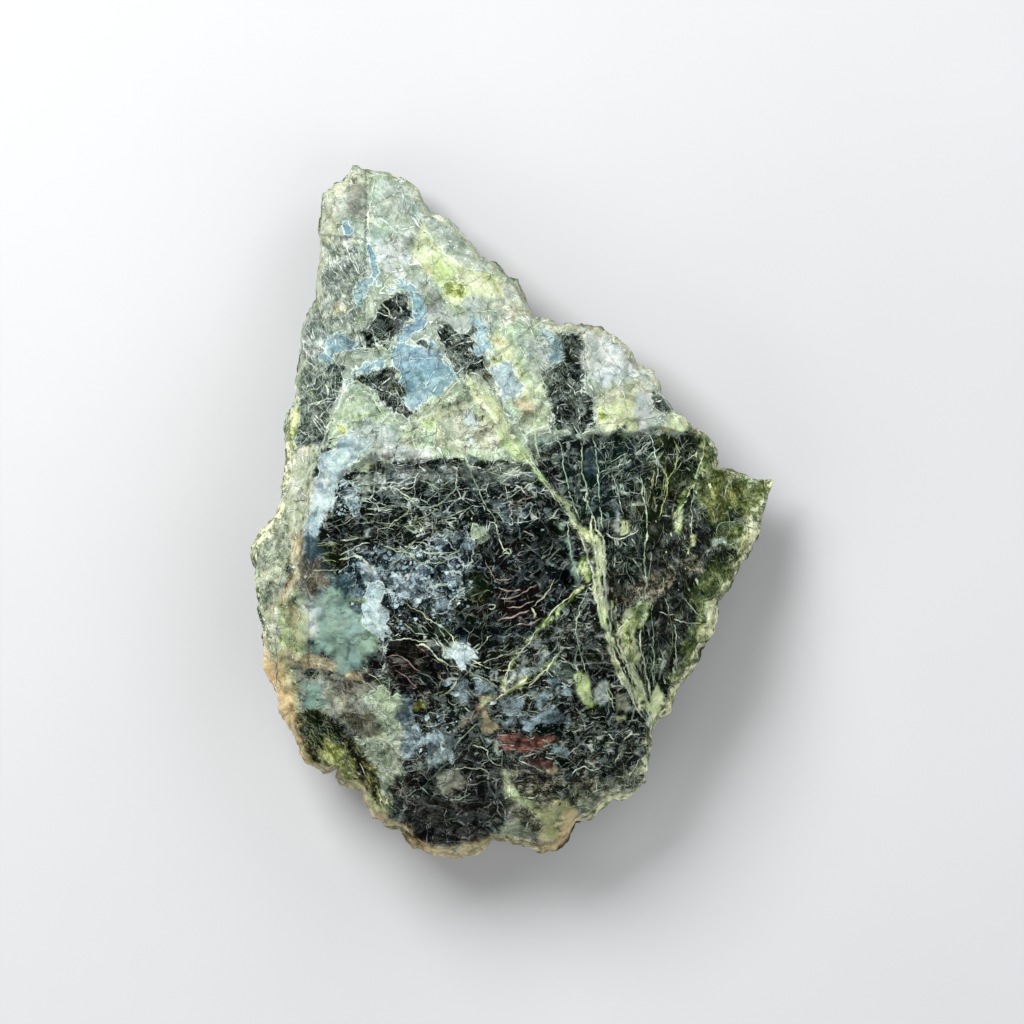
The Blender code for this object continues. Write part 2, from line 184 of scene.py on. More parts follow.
# The stone's box in mm, and where each side of it lies on the texture sheet: low and high corner.
BOX_LOW = np.array([-41.0, -54.0])
BOX_SIZE = np.array([82, 108])
TOP_SHEET = ((0.005, 0.005), (0.70, 0.70))
UNDER_SHEET = ((0.705, 0.005), (0.995, 0.40))
WALL_SHEET = (0.005, 0.715)  # low corner of the lowest of the four strips
STRIP_APART = 0.071
STRIP_SIZE = np.array([0.99, 0.066])

# ---- Finishes ----

# How light each is on the whole and how far it varies, as the eye sees it; how much fibre, web and
# fleck shows in it, fleck being painted glints and a painted blue sheen; how rough it is; its dark and
# its light colour. The pale blue-grey and blue-white finishes are painted sheen, for plates that catch
# the light, and the bright yellow-green rim finish is a painted glow, for light let through the thin rim.
FINISHES = """
pale_skin .6 .25 .35 1 .7 .5 106,128,110 240,249,230;
grey_facet .65 .22 .3 1 .8 .42 104,124,116 234,246,230;
white_skin .73 .25 .25 1 .7 .52 138,154,148 250,254,250;
cream_rim .65 .24 .35 1 .6 .5 112,126,88 253,255,234;
cream .75 .2 .3 .8 .4 .48 134,152,84 248,254,222;
lime .73 .13 .3 .6 .2 .44 136,168,84 232,246,200;
olive .72 .52 .4 .6 .3 .4 84,106,34 228,238,164;
flank .58 .4 .9 .8 .5 .46 64,76,68 226,238,228;
blue .59 .32 .1 .85 .5 .36 86,122,136 200,230,234;
pale_blue .72 .27 .1 .6 .6 .44 104,134,142 226,242,240;
dark_web .31 .61 .25 1 .4 .34 6,16,10 176,196,180;
teal_wedge .34 .46 .55 .8 .3 .36 22,42,34 190,208,194;
slab_green .72 .24 .3 1 .4 .44 88,112,76 232,250,220;
lilac .65 .17 .15 .45 .6 .46 120,136,130 234,244,238;
black_glass -.29 .33 .5 .6 .35 .18 3,7,5 128,148,138;
black_web -.04 .48 .9 1 .7 .24 6,16,11 206,224,208;
frost .48 .78 .15 .5 .9 .36 10,22,25 156,182,190;
snow .71 .66 .15 .5 .9 .42 46,64,72 190,210,218;
rust -.23 .7 .5 .2 .1 .3 3,2,1 124,74,46;
teal_smooth .61 .14 0 .1 .1 .34 96,124,112 184,212,198;
shadow_blue .44 .52 .2 .2 .2 .34 36,54,60 138,162,164;
edge_mottle .64 .34 .5 .6 .5 .48 58,74,56 226,236,208;
peach .7 .34 .4 .6 .3 .48 120,106,72 236,228,190;
orange .82 .2 .3 .4 .3 .46 160,128,78 240,224,178;
lilac_low .68 .26 .2 .5 .5 .42 68,74,62 206,212,192;
wedge .38 .7 1 .2 .2 .34 12,14,1 184,186,124;
wedge_lime .63 .6 .9 .1 .1 .34 72,82,18 206,214,130;
violet_dark .17 .61 .3 .7 .4 .28 8,11,8 150,152,140;
foot_web .11 .61 .8 .6 1 .26 6,14,9 200,214,194;
blue_flake .66 .42 .1 .5 .6 .38 34,52,56 186,210,214;
wing_dark .12 .6 .75 .6 .4 .22 6,17,11 200,220,184;
wing_teal -.03 .5 .8 .7 .6 .22 8,26,22 190,216,200;
wing_brown .46 .72 .8 .4 .3 .34 18,18,11 190,186,160;
wing_violet .2 .5 .35 .4 .4 .26 14,18,15 150,156,142;
wing_olive .06 .55 .6 .5 .2 .26 8,20,3 172,188,120;
wing_tip .54 .46 .8 .6 .2 .32 44,58,6 200,212,136;
wing_rim .9 .8 .5 1 .4 .44 84,98,50 250,254,212;
green_glass .54 .5 .6 .5 .3 .26 40,56,24 186,204,130;
khaki .58 .24 .3 .7 .3 .46 128,134,88 226,230,184;
warm_grey .46 .36 .2 .7 .4 .38 52,52,42 190,190,166;
foot_edge .46 .6 .4 1 .5 .4 44,50,34 214,216,182;
ochre .68 .55 .4 .3 .2 .42 104,102,48 226,220,164;
rust_streak .62 .5 1 .1 .1 .36 44,28,24 158,112,98;
under .46 .65 .55 .6 .3 .46 30,42,28 180,196,160;
vein .7 .34 .3 .4 .2 .46 184,200,138 250,255,226;
vein_lime .64 .5 .3 .6 .2 .44 112,140,66 240,252,196;
white .7 .4 0 .1 .1 .5 206,222,210 248,254,248;
green .7 .4 0 .1 .1 .46 150,176,146 224,240,214;
butter .7 .4 0 .1 .1 .48 170,184,152 240,248,226;
pink .7 .4 0 .1 .1 .46 140,120,108 222,206,196;
yellow .7 .4 0 .1 .1 .42 136,150,88 214,226,168;
sky .7 .4 0 .1 .1 .44 120,148,156 206,228,232;
dim .7 .4 0 .1 .1 .36 66,86,80 140,162,152;
"""

# Where each finish lies: how ragged its edge is and how soft, both in mm, and its outline in ticks.
PLACES = """
pale_skin 1 2 240,150 800,150 800,445 240,445;
cream_rim .8 1.2 318,180 330,172 346,176 340,200 338,222 336,238 318,240;
cream .5 .8 347,182 352,168 366,166 374,176 364,184;
lilac_low .8 1 344,190 356,184 368,188 368,214 356,216 344,210;
grey_facet .8 1 372,180 386,174 410,178 416,200 408,212 384,214 372,206;
grey_facet .3 .5 407,170 425,185 452,218 478,240 510,268 498,277 470,269 446,253 434,237 422,229 408,214;
white_skin .8 1 366,235 403,235 405,262 398,276 384,268 374,246;
cream_rim .8 1.2 312,196 352,160 372,172 348,190 338,215 334,242 316,245;
flank .8 .8 312,246 345,240 360,262 364,300 352,322 334,332 328,360 312,384 300,440 286,440 290,330;
cream .6 .5 407,250 422,227 434,237 446,253 470,269 500,277 512,290 497,300 470,300 454,308 442,306 438,288
 422,273 409,261;
lime .5 1 432,256 446,262 452,274 444,284 434,274;
olive .4 .5 442,285 464,284 466,296 452,302 441,297;
cream_rim .8 .8 498,300 530,304 532,322 505,335 495,330 506,316;
lilac .6 .5 412,278 430,278 446,306 438,322 424,318;
dark_web .5 .3 418,284 430,281 444,305 432,309 426,296;
blue .7 .5 342,216 352,216 355,225 350,232 343,230;
blue .5 .35 365,247 373,243 383,267 379,279 371,294 361,305 355,297 363,283 371,277 368,261;
dark_web .7 .3 393,293 403,289 410,296 412,308 417,316 403,329 391,349 385,352 358,351 359,340 373,322
 380,304;
blue .5 .35 386,288 399,280 418,292 428,308 426,324 403,348 391,350 399,336 414,320 412,306 406,293 396,290;
lilac .6 .5 444,318 478,312 486,326 474,330 458,334 442,326;
blue .5 .35 474,318 488,330 492,345 484,358 466,352 473,346;
dark_web .6 .3 438,326 448,328 458,334 474,327 473,346 463,352 482,359 485,370 470,374 456,378 451,364
 440,354;
dark_web .7 .3 351,378 369,371 397,366 401,373 401,393 416,402 428,410 410,418 392,408 376,398 360,384;
blue .5 .35 391,351 404,346 418,348 430,342 444,360 456,369 457,379 440,398 428,408 418,410 407,403 402,389
 399,373 391,362;
blue .6 .35 335,330 342,337 357,343 356,355 345,356 333,361 329,368 321,359 329,348 332,340;
blue .4 .35 351,369 363,364 386,359 383,368 367,373 353,378;
teal_wedge .5 .4 309,384 331,364 346,368 341,392 333,416 325,446 296,450 298,410;
slab_green .8 .6 498,330 532,318 562,324 556,345 548,380 560,420 520,430 500,400 488,360;
cream .7 .7 486,338 500,334 512,356 524,378 534,404 527,414 514,394 500,362;
grey_facet .9 1.2 520,338 548,334 550,360 544,384 530,372 522,356;
pale_blue .8 .6 492,372 502,364 514,368 520,386 516,400 504,402;
peach .4 .5 507,400 528,396 534,414 522,412;
olive .3 .4 490,360 503,358 502,366 492,368;
blue .8 .5 540,334 550,330 558,348 562,364 552,368 544,356;
dark_web .8 .3 556,332 578,332 584,352 586,371 583,392 589,402 591,418 598,426 583,434 556,432 548,404
 543,385 545,370 562,366;
white_skin 1 .8 580,320 620,330 650,362 640,392 600,392 588,372 582,346;
peach .4 .5 337,305 345,303 351,308 345,315 338,313;
lilac_low .5 .6 420,284 430,282 442,300 440,314 430,312 422,300;
lilac .5 .6 462,300 474,296 484,304 480,316 468,318;
500,280 510,278 517,286 512,298 502,294;
dark_web .3 .4 412,342 424,344 434,348 432,352 420,351 412,348;
blue .3 .4 346,380 350,378 352,386 347,388;
dark_web .3 .3 398,388 404,387 408,394 402,400;
wedge .3 .4 485,376 492,375 497,380 490,383;
peach .3 .4 492,340 500,339 502,346 494,348;
lilac .5 .5 584,336 596,334 600,352 590,362;
cream_rim .8 .8 598,392 640,376 656,392 640,404 602,406;
cream .7 .5 592,404 634,402 636,430 602,431;
olive .4 .5 593,411 604,410 606,419 596,420;
lilac .4 .4 635,394 648,390 650,434 636,434;
dark_web .6 .4 652,386 662,394 674,414 664,418 652,404;
cream .5 .4 664,416 680,410 696,430 676,436 664,432;
slab_green .8 .6 326,446 336,412 357,390 374,398 398,428 440,396 470,378 498,398 540,470 500,462 420,462
 380,478 340,470;
lilac .8 .8 366,416 398,430 404,450 380,468 352,450;
cream_rim 1 1.2 404,430 450,404 500,424 508,446 450,452 402,456;
lime .7 .6 380,466 400,452 424,444 420,454 398,468 382,474;
white_skin .8 1.2 384,448 410,441 432,448 428,464 400,474 384,468;
lime .6 .8 420,424 436,418 440,430 426,436;
olive .3 .5 340,427 346,425 350,430 346,435 341,433;
slab_green .5 .6 415,430 424,427 435,434 432,448 418,450;
white_skin .5 .6 462,414 472,410 480,418 479,430 468,434 462,426;
pale_blue .3 .3 462,439 470,437 472,443 466,447;
black_web .4 .5 315,431 322,430 325,437 320,443 315,441;
pale_blue .6 .6 352,432 372,440 356,462 340,488 324,530 305,560 303,530 312,488 326,452;
olive .4 .5 280,452 290,396 300,398 298,450 290,470;
cream_rim .8 .8 278,452 322,442 312,500 298,560 268,520 276,500;
edge_mottle .6 .6 246,500 288,500 290,560 284,610 250,640 240,560;
cream_rim .6 .8 245,552 262,520 274,520 262,550 252,590;
peach .6 .5 288,528 306,532 308,560 300,585 290,606 280,606 284,590 292,570;
khaki .8 1.2 270,606 284,600 298,612 300,640 296,664 280,664 266,640;
warm_grey .5 .8 296,560 322,556 330,574 322,588 304,586;
teal_smooth 1 2 296,590 330,590 336,652 300,660 290,630;
shadow_blue .8 1.6 300,628 322,622 330,640 318,652 302,648;
lime 1 .8 282,614 290,620 291,636 285,648 279,636;
cream_rim .6 .8 250,600 282,608 282,656 258,660;
khaki .8 1.2 262,650 300,656 304,684 298,728 284,700;
orange .9 2.0 248,646 274,656 290,680 293,704 296,740 270,736 250,690;
peach .5 .5 284,650 330,656 372,670 368,678 320,668 290,668;
lilac_low .8 .8 294,668 370,676 404,694 406,750 372,740 320,706 298,716;
teal_smooth .8 1.2 302,676 322,682 326,706 314,716 304,700;
warm_grey .8 1.4 328,668 356,674 352,698 338,702 330,684;
slab_green .9 1.6 366,690 388,684 402,700 402,744 388,752 372,730;
warm_grey .8 1.2 348,710 376,712 386,734 388,752 364,744 350,730;
edge_mottle .8 .8 352,740 404,724 408,762 420,790 404,820 372,790 360,762;
wedge .6 .5 294,712 318,706 352,736 378,770 392,806 366,806 330,776 294,768;
wing_olive .6 .6 299,714 314,706 330,726 324,742 306,740;
wedge_lime .5 .6 326,736 340,742 356,768 346,778 330,764;
peach .6 .7 302,758 330,766 364,786 384,812 414,834 404,850 360,812 300,780;
khaki .6 .9 332,778 350,776 372,790 392,814 408,830 414,842 396,836 372,812 350,792;
black_web .8 .6 322,556 336,500 352,478 384,462 440,462 500,462 534,470 560,506 574,546 572,590 540,600
 480,560 400,560 340,620;
wing_olive .8 1.4 330,544 350,540 356,566 336,572 320,562;
flank 1.2 1.2 340,486 360,477 400,471 440,468 500,468 534,473 530,482 480,480 420,483 380,488 356,490;
frost 1 2.4 350,552 384,540 420,556 470,548 474,600 452,634 404,640 388,606 340,596;
black_glass .8 .9 474,560 500,530 562,520 576,560 566,600 540,616 514,650 500,676 460,652 452,600 464,566;
black_glass .8 1.4 330,512 372,514 410,520 404,540 360,550 332,540;
380,600 420,606 452,630 452,660 440,690 400,660 388,640;
snow .6 .5 338,488 350,484 357,494 363,501 359,514 350,509 344,498;
frost .5 .5 496,505 508,501 511,515 508,525 500,523;
frost .4 .4 522,510 530,504 529,518 524,522;
frost .9 .7 428,538 448,534 466,528 474,548 466,566 450,556 432,560;
white_skin .1 .2 364,529 370,529 369,538 366,538;
wing_olive .3 .3 413,515 425,515 424,526 414,526;
slab_green .5 .5 470,527 486,524 489,535 478,544 469,540;
snow .8 .5 390,590 400,577 412,567 424,564 430,580 424,596 404,600 394,603;
frost .9 .7 432,572 460,570 466,596 440,606 430,592;
pale_blue .6 .5 444,640 466,642 474,654 462,664 450,658;
wing_olive .8 1.2 462,576 490,566 496,592 470,606;
rust .7 1.2 388,640 424,640 440,664 436,690 404,686 388,662;
rust .7 1.6 496,590 538,592 534,618 500,620;
shadow_blue .5 .8 306,534 322,534 330,574 356,580 340,606 308,600;
teal_smooth 1 1.6 312,600 334,588 362,602 380,632 376,652 362,668 340,664 320,650;
warm_grey .7 1.0 302,562 322,562 330,584 318,596 304,594;
lilac .8 1.6 296,600 312,598 322,612 312,634 300,626;
khaki .8 1.6 288,590 300,588 304,620 308,648 298,656 286,642;
black_glass .3 .5 366,672 380,640 386,642 380,664 372,680;
snow .4 .4 392,584 402,581 410,571 420,564 430,569 431,581 427,594 420,599 405,597 394,594;
frost .4 .4 430,540 449,540 457,551 455,557 445,554 434,549;
446,559 456,555 464,565 460,572 452,569;
431,585 446,584 460,582 460,597 450,602 446,610 435,611 430,600;
black_glass .4 .4 432,567 447,570 446,579 432,577;
461,566 472,569 471,590 462,587;
wing_olive .3 .4 436,621 442,619 451,626 452,639 446,644 439,635;
394,601 407,601 427,614 422,617 402,610;
wedge_lime .2 .3 345,600 364,600 364,603 345,603;
shadow_blue .3 .4 347,602 364,605 366,615 352,614;
pale_blue .3 .3 367,580 382,580 386,584 385,590 386,595 384,601 390,610 386,620 392,632 384,636 375,632
 365,627 366,620 370,614 364,605 370,597 366,590;
white_skin .2 .3 362,561 370,560 374,566 376,574 369,570 363,568;
frost .3 .3 384,636 392,637 390,642 387,652 381,670 379,670 384,652;
rust .4 .6 390,642 410,637 417,642 415,652 427,665 420,670 396,670 387,660 390,652;
pale_blue .3 .3 454,647 460,646 471,646 470,656 460,664 452,656;
foot_web .8 .8 404,690 452,694 504,676 560,620 604,620 652,724 654,780 600,790 520,800 460,840 410,840
 392,806 404,770;
violet_dark 1 1.2 396,776 470,740 520,760 530,800 490,836 430,850 396,820;
wing_brown .6 .8 501,765 515,762 535,765 560,772 600,775 600,790 535,795 507,790 501,777;
lilac_low .6 .6 436,767 457,767 465,776 462,790 445,790 436,780;
blue_flake .3 .3 402,691 416,694 414,710 420,720 424,735 420,745 407,757 402,750 404,726 396,717 402,707;
426,734 432,727 445,732 456,734 457,740 452,747 457,752 447,757 437,764 430,761 431,750 425,742;
455,684 462,677 470,680 472,695 469,702 457,699 454,692;
blue_flake .2 .3 472,676 481,675 487,681 495,689 499,694 490,696 481,692 476,692 474,684;
blue_flake .3 .3 499,700 510,695 522,696 524,706 520,711 507,712 499,709;
498,716 515,714 516,724 507,727 499,724;
520,714 535,714 535,724 517,724;
violet_dark .3 .3 470,680 475,682 475,695 477,717 472,719 470,702;
peach .3 .3 475,705 480,694 490,694 495,696 490,699 484,702 483,709 490,715 496,722 494,727 485,729 481,725
 484,720 481,714 476,707;
rust_streak .3 .4 492,733 505,731 535,733 552,736 556,740 535,742 515,741 498,738;
500,741 520,742 541,744 540,749 520,748 504,747;
rust_streak .2 .3 497,740 515,740 535,741 545,742 545,746 525,745 507,746 501,747;
rust_streak .3 .5 522,752 534,755 548,762 552,768 540,768 528,762;
wedge_lime .3 .4 414,700 425,699 427,706 417,707;
rust .3 .5 414,684 426,684 425,695 416,692;
pale_skin .1 .2 493,743 498,743 498,750 493,749;
teal_wedge .3 .3 547,665 555,655 566,659 575,667 577,672 575,681 567,686 557,681 551,676 547,670;
lime .1 .2 575,675 580,672 587,676 591,686 592,696 589,701 584,699 577,696 576,685;
blue_flake .2 .3 544,677 552,676 561,682 559,689 551,690 544,685;
536,692 541,689 552,690 555,695 546,699 545,704 536,702 534,697;
536,711 545,707 555,706 564,710 565,717 555,721 547,722 536,720;
520,711 527,712 536,720 527,722 520,721;
520,666 527,669 532,674 525,680 520,680;
551,746 561,744 569,750 571,755 562,757 552,755 545,754;
wing_olive .4 .6 582,651 596,651 597,660 591,664 584,661;
lilac .4 .4 594,686 607,677 610,690 597,702 592,696;
cream .3 .3 612,645 630,642 632,652 630,665 620,662 615,652;
wing_olive .2 .3 610,647 620,657 619,661 611,652;
violet_dark .2 .3 627,667 632,677 640,692 645,700 640,707 632,692;
olive .2 .3 619,672 624,672 626,687 620,686;
lilac_low .3 .3 615,694 625,692 630,705 617,709 612,700;
cream .2 .3 614,715 624,710 626,715 619,720;
peach .2 .3 542,769 549,767 555,770 550,774 545,774;
foot_edge 1 1.2 502,772 514,764 520,788 560,792 562,830 548,840 520,836 500,812;
cream .6 .8 503,768 509,775 512,788 522,797 536,801 530,807 514,801 505,792;
foot_edge .8 1.0 562,788 600,780 650,764 652,800 600,812 568,822;
edge_mottle .7 .9 574,800 604,790 652,776 652,800 600,812 572,820;
498,824 516,818 536,830 540,850 498,844;
khaki .5 .7 536,810 556,802 572,806 562,822 560,848 550,856 536,848 540,828;
peach .7 .7 356,796 372,800 392,826 410,838 430,842 452,846 480,838 500,834 530,838 556,838 556,870 350,870
 340,800;
orange .6 1.0 560,814 576,808 584,830 560,856 552,846 564,830;
wing_dark .6 .5 584,434 690,434 712,470 700,600 676,690 652,726 626,676 606,610 598,540 566,500 552,460;
wing_violet 1 1 662,520 716,520 718,545 700,590 676,640 656,640 652,590;
wing_olive .8 1 652,436 692,436 730,468 742,500 732,530 694,506 664,500;
wing_olive .8 .8 704,556 744,552 730,600 704,610 690,600;
wing_teal .8 .8 556,434 652,434 642,470 606,522 592,516 575,500 558,470;
shadow_blue .6 .4 584,452 597,450 598,470 586,474;
wing_olive .6 .5 645,462 662,466 664,500 655,530 648,560 641,520 640,480;
wing_olive .7 .6 672,440 700,440 694,480 684,505 672,520 668,480;
wing_violet .4 .4 648,525 664,518 672,540 668,566 650,572;
wing_tip .8 .9 700,462 735,470 738,500 728,520 705,520 696,500;
wing_brown .8 .7 604,586 640,578 690,556 700,566 660,592 640,604 606,606;
lilac .2 .3 611,512 616,514 620,533 611,530;
cream .2 .3 617,516 622,520 629,523 628,531 620,534;
cream .3 .3 673,514 682,509 683,515 678,524 677,534 672,530;
687,532 694,533 693,545 689,548;
green_glass .4 .6 714,522 743,520 741,541 733,549 714,548 715,534;
pale_skin .3 .3 713,537 724,536 724,545 714,546;
teal_smooth .3 .3 708,574 716,570 736,572 730,582 712,586;
wing_tip .3 .6 732,466 780,476 760,526 740,520;
green_glass .6 .6 688,420 702,427 719,451 721,468 702,465 698,451 688,441;
wing_rim .3 .4 744,516 762,516 752,556 737,560 738,540;
ochre .3 .5 742,528 752,530 748,554 738,556;
green_glass .6 .8 715,558 738,558 735,575 719,606 712,630 698,658 683,679 671,696 667,676 681,648 691,623
 688,599 702,575;
wing_rim .6 .7 746,558 740,592 724,616 718,652 694,690 670,716 660,706 686,670 704,632 714,594 730,574;
cream .5 .5 700,600 710,602 712,618 706,638 696,640 700,622;
cream .3 .3 633,601 645,599 645,613 633,627 631,641 638,654 633,666 621,666 615,658 612,644 614,630 624,613;
green_glass .3 .3 628,618 638,608 640,616 630,630 626,652 619,646 621,630;
"""

# Veins that are broad enough to have a skin of their own: half widths in mm at the first end, the
# middle and the last end, and the line in ticks.
BROAD_VEINS = """
cream .5 1.3 .9 470,380 495,420 512,446;
lime .4 1.2 .4 504,436 516,450 528,466;
vein_lime .25 .25 .4 512,446 530,462 546,486 560,505 576,524;
vein .4 .8 1 574,520 586,534 594,548;
vein .9 .7 .6 594,548 597,570 599,600;
vein_lime .3 .8 .4 580,556 584,566 588,578;
vein .45 .3 .35 599,600 605,630 613,656 624,676 640,704;
vein .3 .25 .2 609,600 615,628 622,650 634,680 646,716;
wing_olive .3 .5 .3 606,612 612,636 622,662 632,684;
vein_lime .2 .2 .15 582,586 560,602 545,618 528,640 510,662 502,690;
vein_lime .2 .2 .15 480,700 500,694 524,680 551,657;
warm_grey .3 .25 .2 503,690 480,708 456,728 430,758 398,792;
teal_smooth .35 .3 .35 566,526 570,556 577,582;
vein_lime .2 .2 .2 642,598 630,614 618,630;
vein_lime .4 .7 .4 622,634 626,650 631,664;
vein .3 .4 .6 630,666 640,690 652,718;
vein .5 .8 .8 654,686 656,700 653,722;
vein_lime .25 .2 .2 703,438 700,459 686,497 675,516 674,530;
"""

# How the paint wanders: unevenness along X and along Y, then at the edges, along the wall, and from
# warm to cool and green to violet.
OUTLINE_BEND = ([(4.5, 0.75, 221), (1.6, 0.375, 224)], [(4.5, 0.75, 231), (1.6, 0.375, 234)])
PAINT_EDGE = [(2.4, 1, 201), (1.1, 0.7, 204), (0.6, 0.6, 207)]
STREAK = [(7, 1, 301)]
SHORT_STREAK = [(2.5, 0.5, 304)]
WARMER = [(3.2, 1, 311), (1.1, 0.6, 314)]
GREENER = [(4.4, 1, 321), (1.3, 0.6, 324)]
DRIFT_WARM = (0.22, 0, -0.26)
DRIFT_GREEN = (-0.14, 0.14, -0.14)
DARK_DRIFT = 0.34  # how far the dark and the light colour drift
LIGHT_DRIFT = 0.14
LEAST_DRIFT = 0.010
VEIN_PAINT_RAGGED = 0.40
VEIN_PAINT_EDGE = 0.25

# The pale line round the rim is a painted glow, for light let through the thin stone: its width in mm,
# and where it turns peach, orange or white.
RIM_GLOW_WIDTH = 1.4
RIM_RAGGED = 0.9
RIM_EDGE = 0.8
RIM_COVER = 0.9
PEACH_BELOW = (-18, 14)  # where it starts and over how many mm it comes in full
PEACH_LEFT_OF = (8, 14)
WHITE_ABOVE = (10, 12)
ORANGE_GLOWS = (((-36, -26), 7.0), ((-34, -34), 6.0), ((8.5, -48), 4.0), ((-14, -48), 6.0))  # middle, reach
WALL_FROM = 0.32  # part of the way down where the wall's own colours start
WALL_COVER = 0.85

SEAMED_PATCHES = "blue dark_web teal_wedge olive slab_green frost snow pale_blue".split()
FAR = 5.0  # further than any seam is looked for

FACE_SPACE = 0.3  # space in mm between the heights looked up on the face
HAIR_STATIONS = 8
HAIR_HALF_WIDTH = 0.072
HAIR_HEIGHT = 0.14
HAIR_SINK = 0.12
HAIR_INSIDE = 0.5  # how far inside the rim a hair stays
HAIR_BEND = 0.8
HAIR_KINK = 0.26
HAIR_DARKEST = 0.30
HAIR_SPREAD = 0.80
CROWD = [(4.0, 1, 421), (1.6, 0.6, 424)]
CROWD_APART = 5.0  # how far apart in height two pieces' crowding is read
FORK_FROM = 1.3  # length in mm from which a hair may fork
FORK_TWICE = 0.6
FORK_TURN = (0.4, 1.2)
FORK_LENGTH = (0.2, 0.55)  # as a part of the hair's
FORK_WIDTH = 0.75
FORK_KINK = 0.25
LINE_STEP = 0.35
LINE_INSIDE = 0.3
LINE_WAVER = ([(1.6, 0.242, 401), (0.6, 0.176, 401)], [(1.6, 0.242, 404), (0.6, 0.176, 404)])
LINE_APART = 1.7  # how far apart in height two lines' wavering is read
LINE_LEVEL = 9.0
LINE_UNEVEN = (1.0, 0.7, 411)  # size in mm, part and seed
LINE_TINT = (2.2, 0.4, 417)
LINE_FOOT = 0.09  # least height of a drawn vein
FLAKE_CORNERS = 7
FLAKE_FOOT = 1.12  # how many times wider its foot is than its top
FLAKE_SINK = 0.25
FLAKE_THICK = 0.2
FLAKE_LEVEL = 0.4  # how far its top follows the face
FLAKE_CHANGE = 0.16
FLAKE_JITTER = 0.22  # in radians, as the scatter of its heading is
FLAKE_SCATTER = 0.35
FACE_HAIR_SEED = 5
EDGE_HAIR_SEED = 6
FLAKE_SEED = 7

# Hair veins: outline in ticks, how many, heading in degrees or the place they spread from, scatter in
# degrees, shortest and longest in mm, and the finishes that they may have.
PALE = "white green green"
COOL = "white sky green dim"
FACE_HAIRS = [
    ("326,560 334,500 352,474 400,460 500,462 536,472 562,512 500,540 330,545", 300, 6, 26, 0.6, 6, COOL),
    ("330,500 540,500 500,620 330,620", 240, 0, 80, 0.4, 2.6, COOL),
    ("490,560 570,500 572,590 520,640", 60, 35, 30, 0.8, 3, "pink dim"),
    ("380,610 450,600 458,664 400,670", 110, (458, 666), 10, 1, 5, "butter dim"),
    ("458,664 470,610 560,640 540,690 480,690", 110, (456, 664), 10, 1, 6, "butter dim green"),
    ("560,432 700,432 690,520 660,600 650,720 620,660 604,560 566,500", 300, (560, -140), 6, 0.8, 9,
     "white green dim dim dim"),
    ("690,440 740,460 760,520 700,640 660,700 660,560", 300, (600, 300), 12, 0.8, 6,
     "yellow yellow dim green"),
    ("604,434 690,434 690,500 604,500", 160, 25, 14, 0.8, 5, PALE),
]
EDGE_HAIRS = [
    ("296,300 312,240 362,240 364,340 320,400 290,440", 420, 115, 12, 0.8, 6, PALE),
    ("330,160 420,170 540,320 420,420 365,330", 500, 118, 50, 0.5, 3, "white butter"),
    ("350,290 490,290 490,420 350,420", 420, 60, 90, 0.4, 2.2, PALE),
    ("540,330 600,330 600,436 540,436", 260, 95, 30, 0.5, 4, PALE),
    ("300,370 345,370 330,448 296,448", 160, 70, 60, 0.6, 4, PALE),
    ("326,446 360,390 470,376 540,470 380,476", 420, 70, 70, 0.5, 3.5, "butter white"),
    ("400,690 600,620 652,724 650,800 460,846 396,800", 420, 15, 50, 0.5, 5, "white dim green pink"),
    ("294,712 318,706 392,806 366,806 294,768", 260, -58, 10, 0.8, 5, "yellow butter"),
    ("250,520 300,520 296,700 256,660", 320, 96, 22, 0.5, 3.5, "butter green"),
    ("290,660 400,690 400,800 300,720", 260, -20, 60, 0.4, 2.6, "butter dim"),
    ("386,636 436,650 440,692 396,690", 90, -25, 20, 0.8, 3, "pink rust_streak"),
    ("320,560 370,560 376,640 320,640", 60, -10, 30, 0.6, 2.4, "green sky"),
]

# Plates: outline in ticks, how many, heading, stretch, smallest and largest half size in mm, tilt, how
# far they stand up in mm, and their finishes, or none for the paint under them.
# Plates in the pale blue-grey and blue-white finishes are painted sheen: their colour stands for plates that
# catch the light.
FLAKES = [
    ("300,160 780,160 780,860 300,860", 420, 20, 1.6, 0.2, 0.8, 0.05, 0.03, None),
    ("250,160 420,160 540,320 480,440 300,500 250,700", 160, 110, 1.5, 0.2, 0.7, 0.05, 0.03, None),
    ("350,552 384,540 470,552 476,600 452,636 390,640 350,600", 260, 20, 1.4, 0.08, 0.32, 0.25, 0.03,
     "frost pale_blue sky"),
    ("392,572 430,562 432,600 396,606", 70, 20, 1.5, 0.2, 0.6, 0.2, 0.06, "sky snow frost pale_blue"),
    ("336,482 362,482 362,514 338,516", 90, 60, 1.4, 0.08, 0.35, 0.2, 0.05, "sky pale_blue"),
    ("330,470 560,470 570,600 450,690 330,600", 140, 10, 1.8, 0.06, 0.28, 0.25, 0.03,
     "frost dim blue_flake"),
    ("400,690 600,630 652,724 640,780 460,840 400,800", 160, 10, 1.8, 0.06, 0.3, 0.25, 0.03,
     "blue_flake dim foot_web"),
    ("404,700 460,720 456,764 420,760", 30, 60, 1.3, 0.1, 0.6, 0.2, 0.06, "blue_flake sky"),
    ("440,680 570,676 572,726 480,726", 40, 10, 1.8, 0.1, 0.6, 0.2, 0.06, "blue_flake sky"),
    ("566,500 720,440 740,560 650,720", 160, (560, -140), 3.5, 0.06, 0.25, 0.25, 0.03,
     "dim wing_dark green wing_violet"),
    ("244,520 300,520 300,700 260,680", 90, 95, 1.5, 0.08, 0.35, 0.2, 0.04, "cream_rim butter"),
]

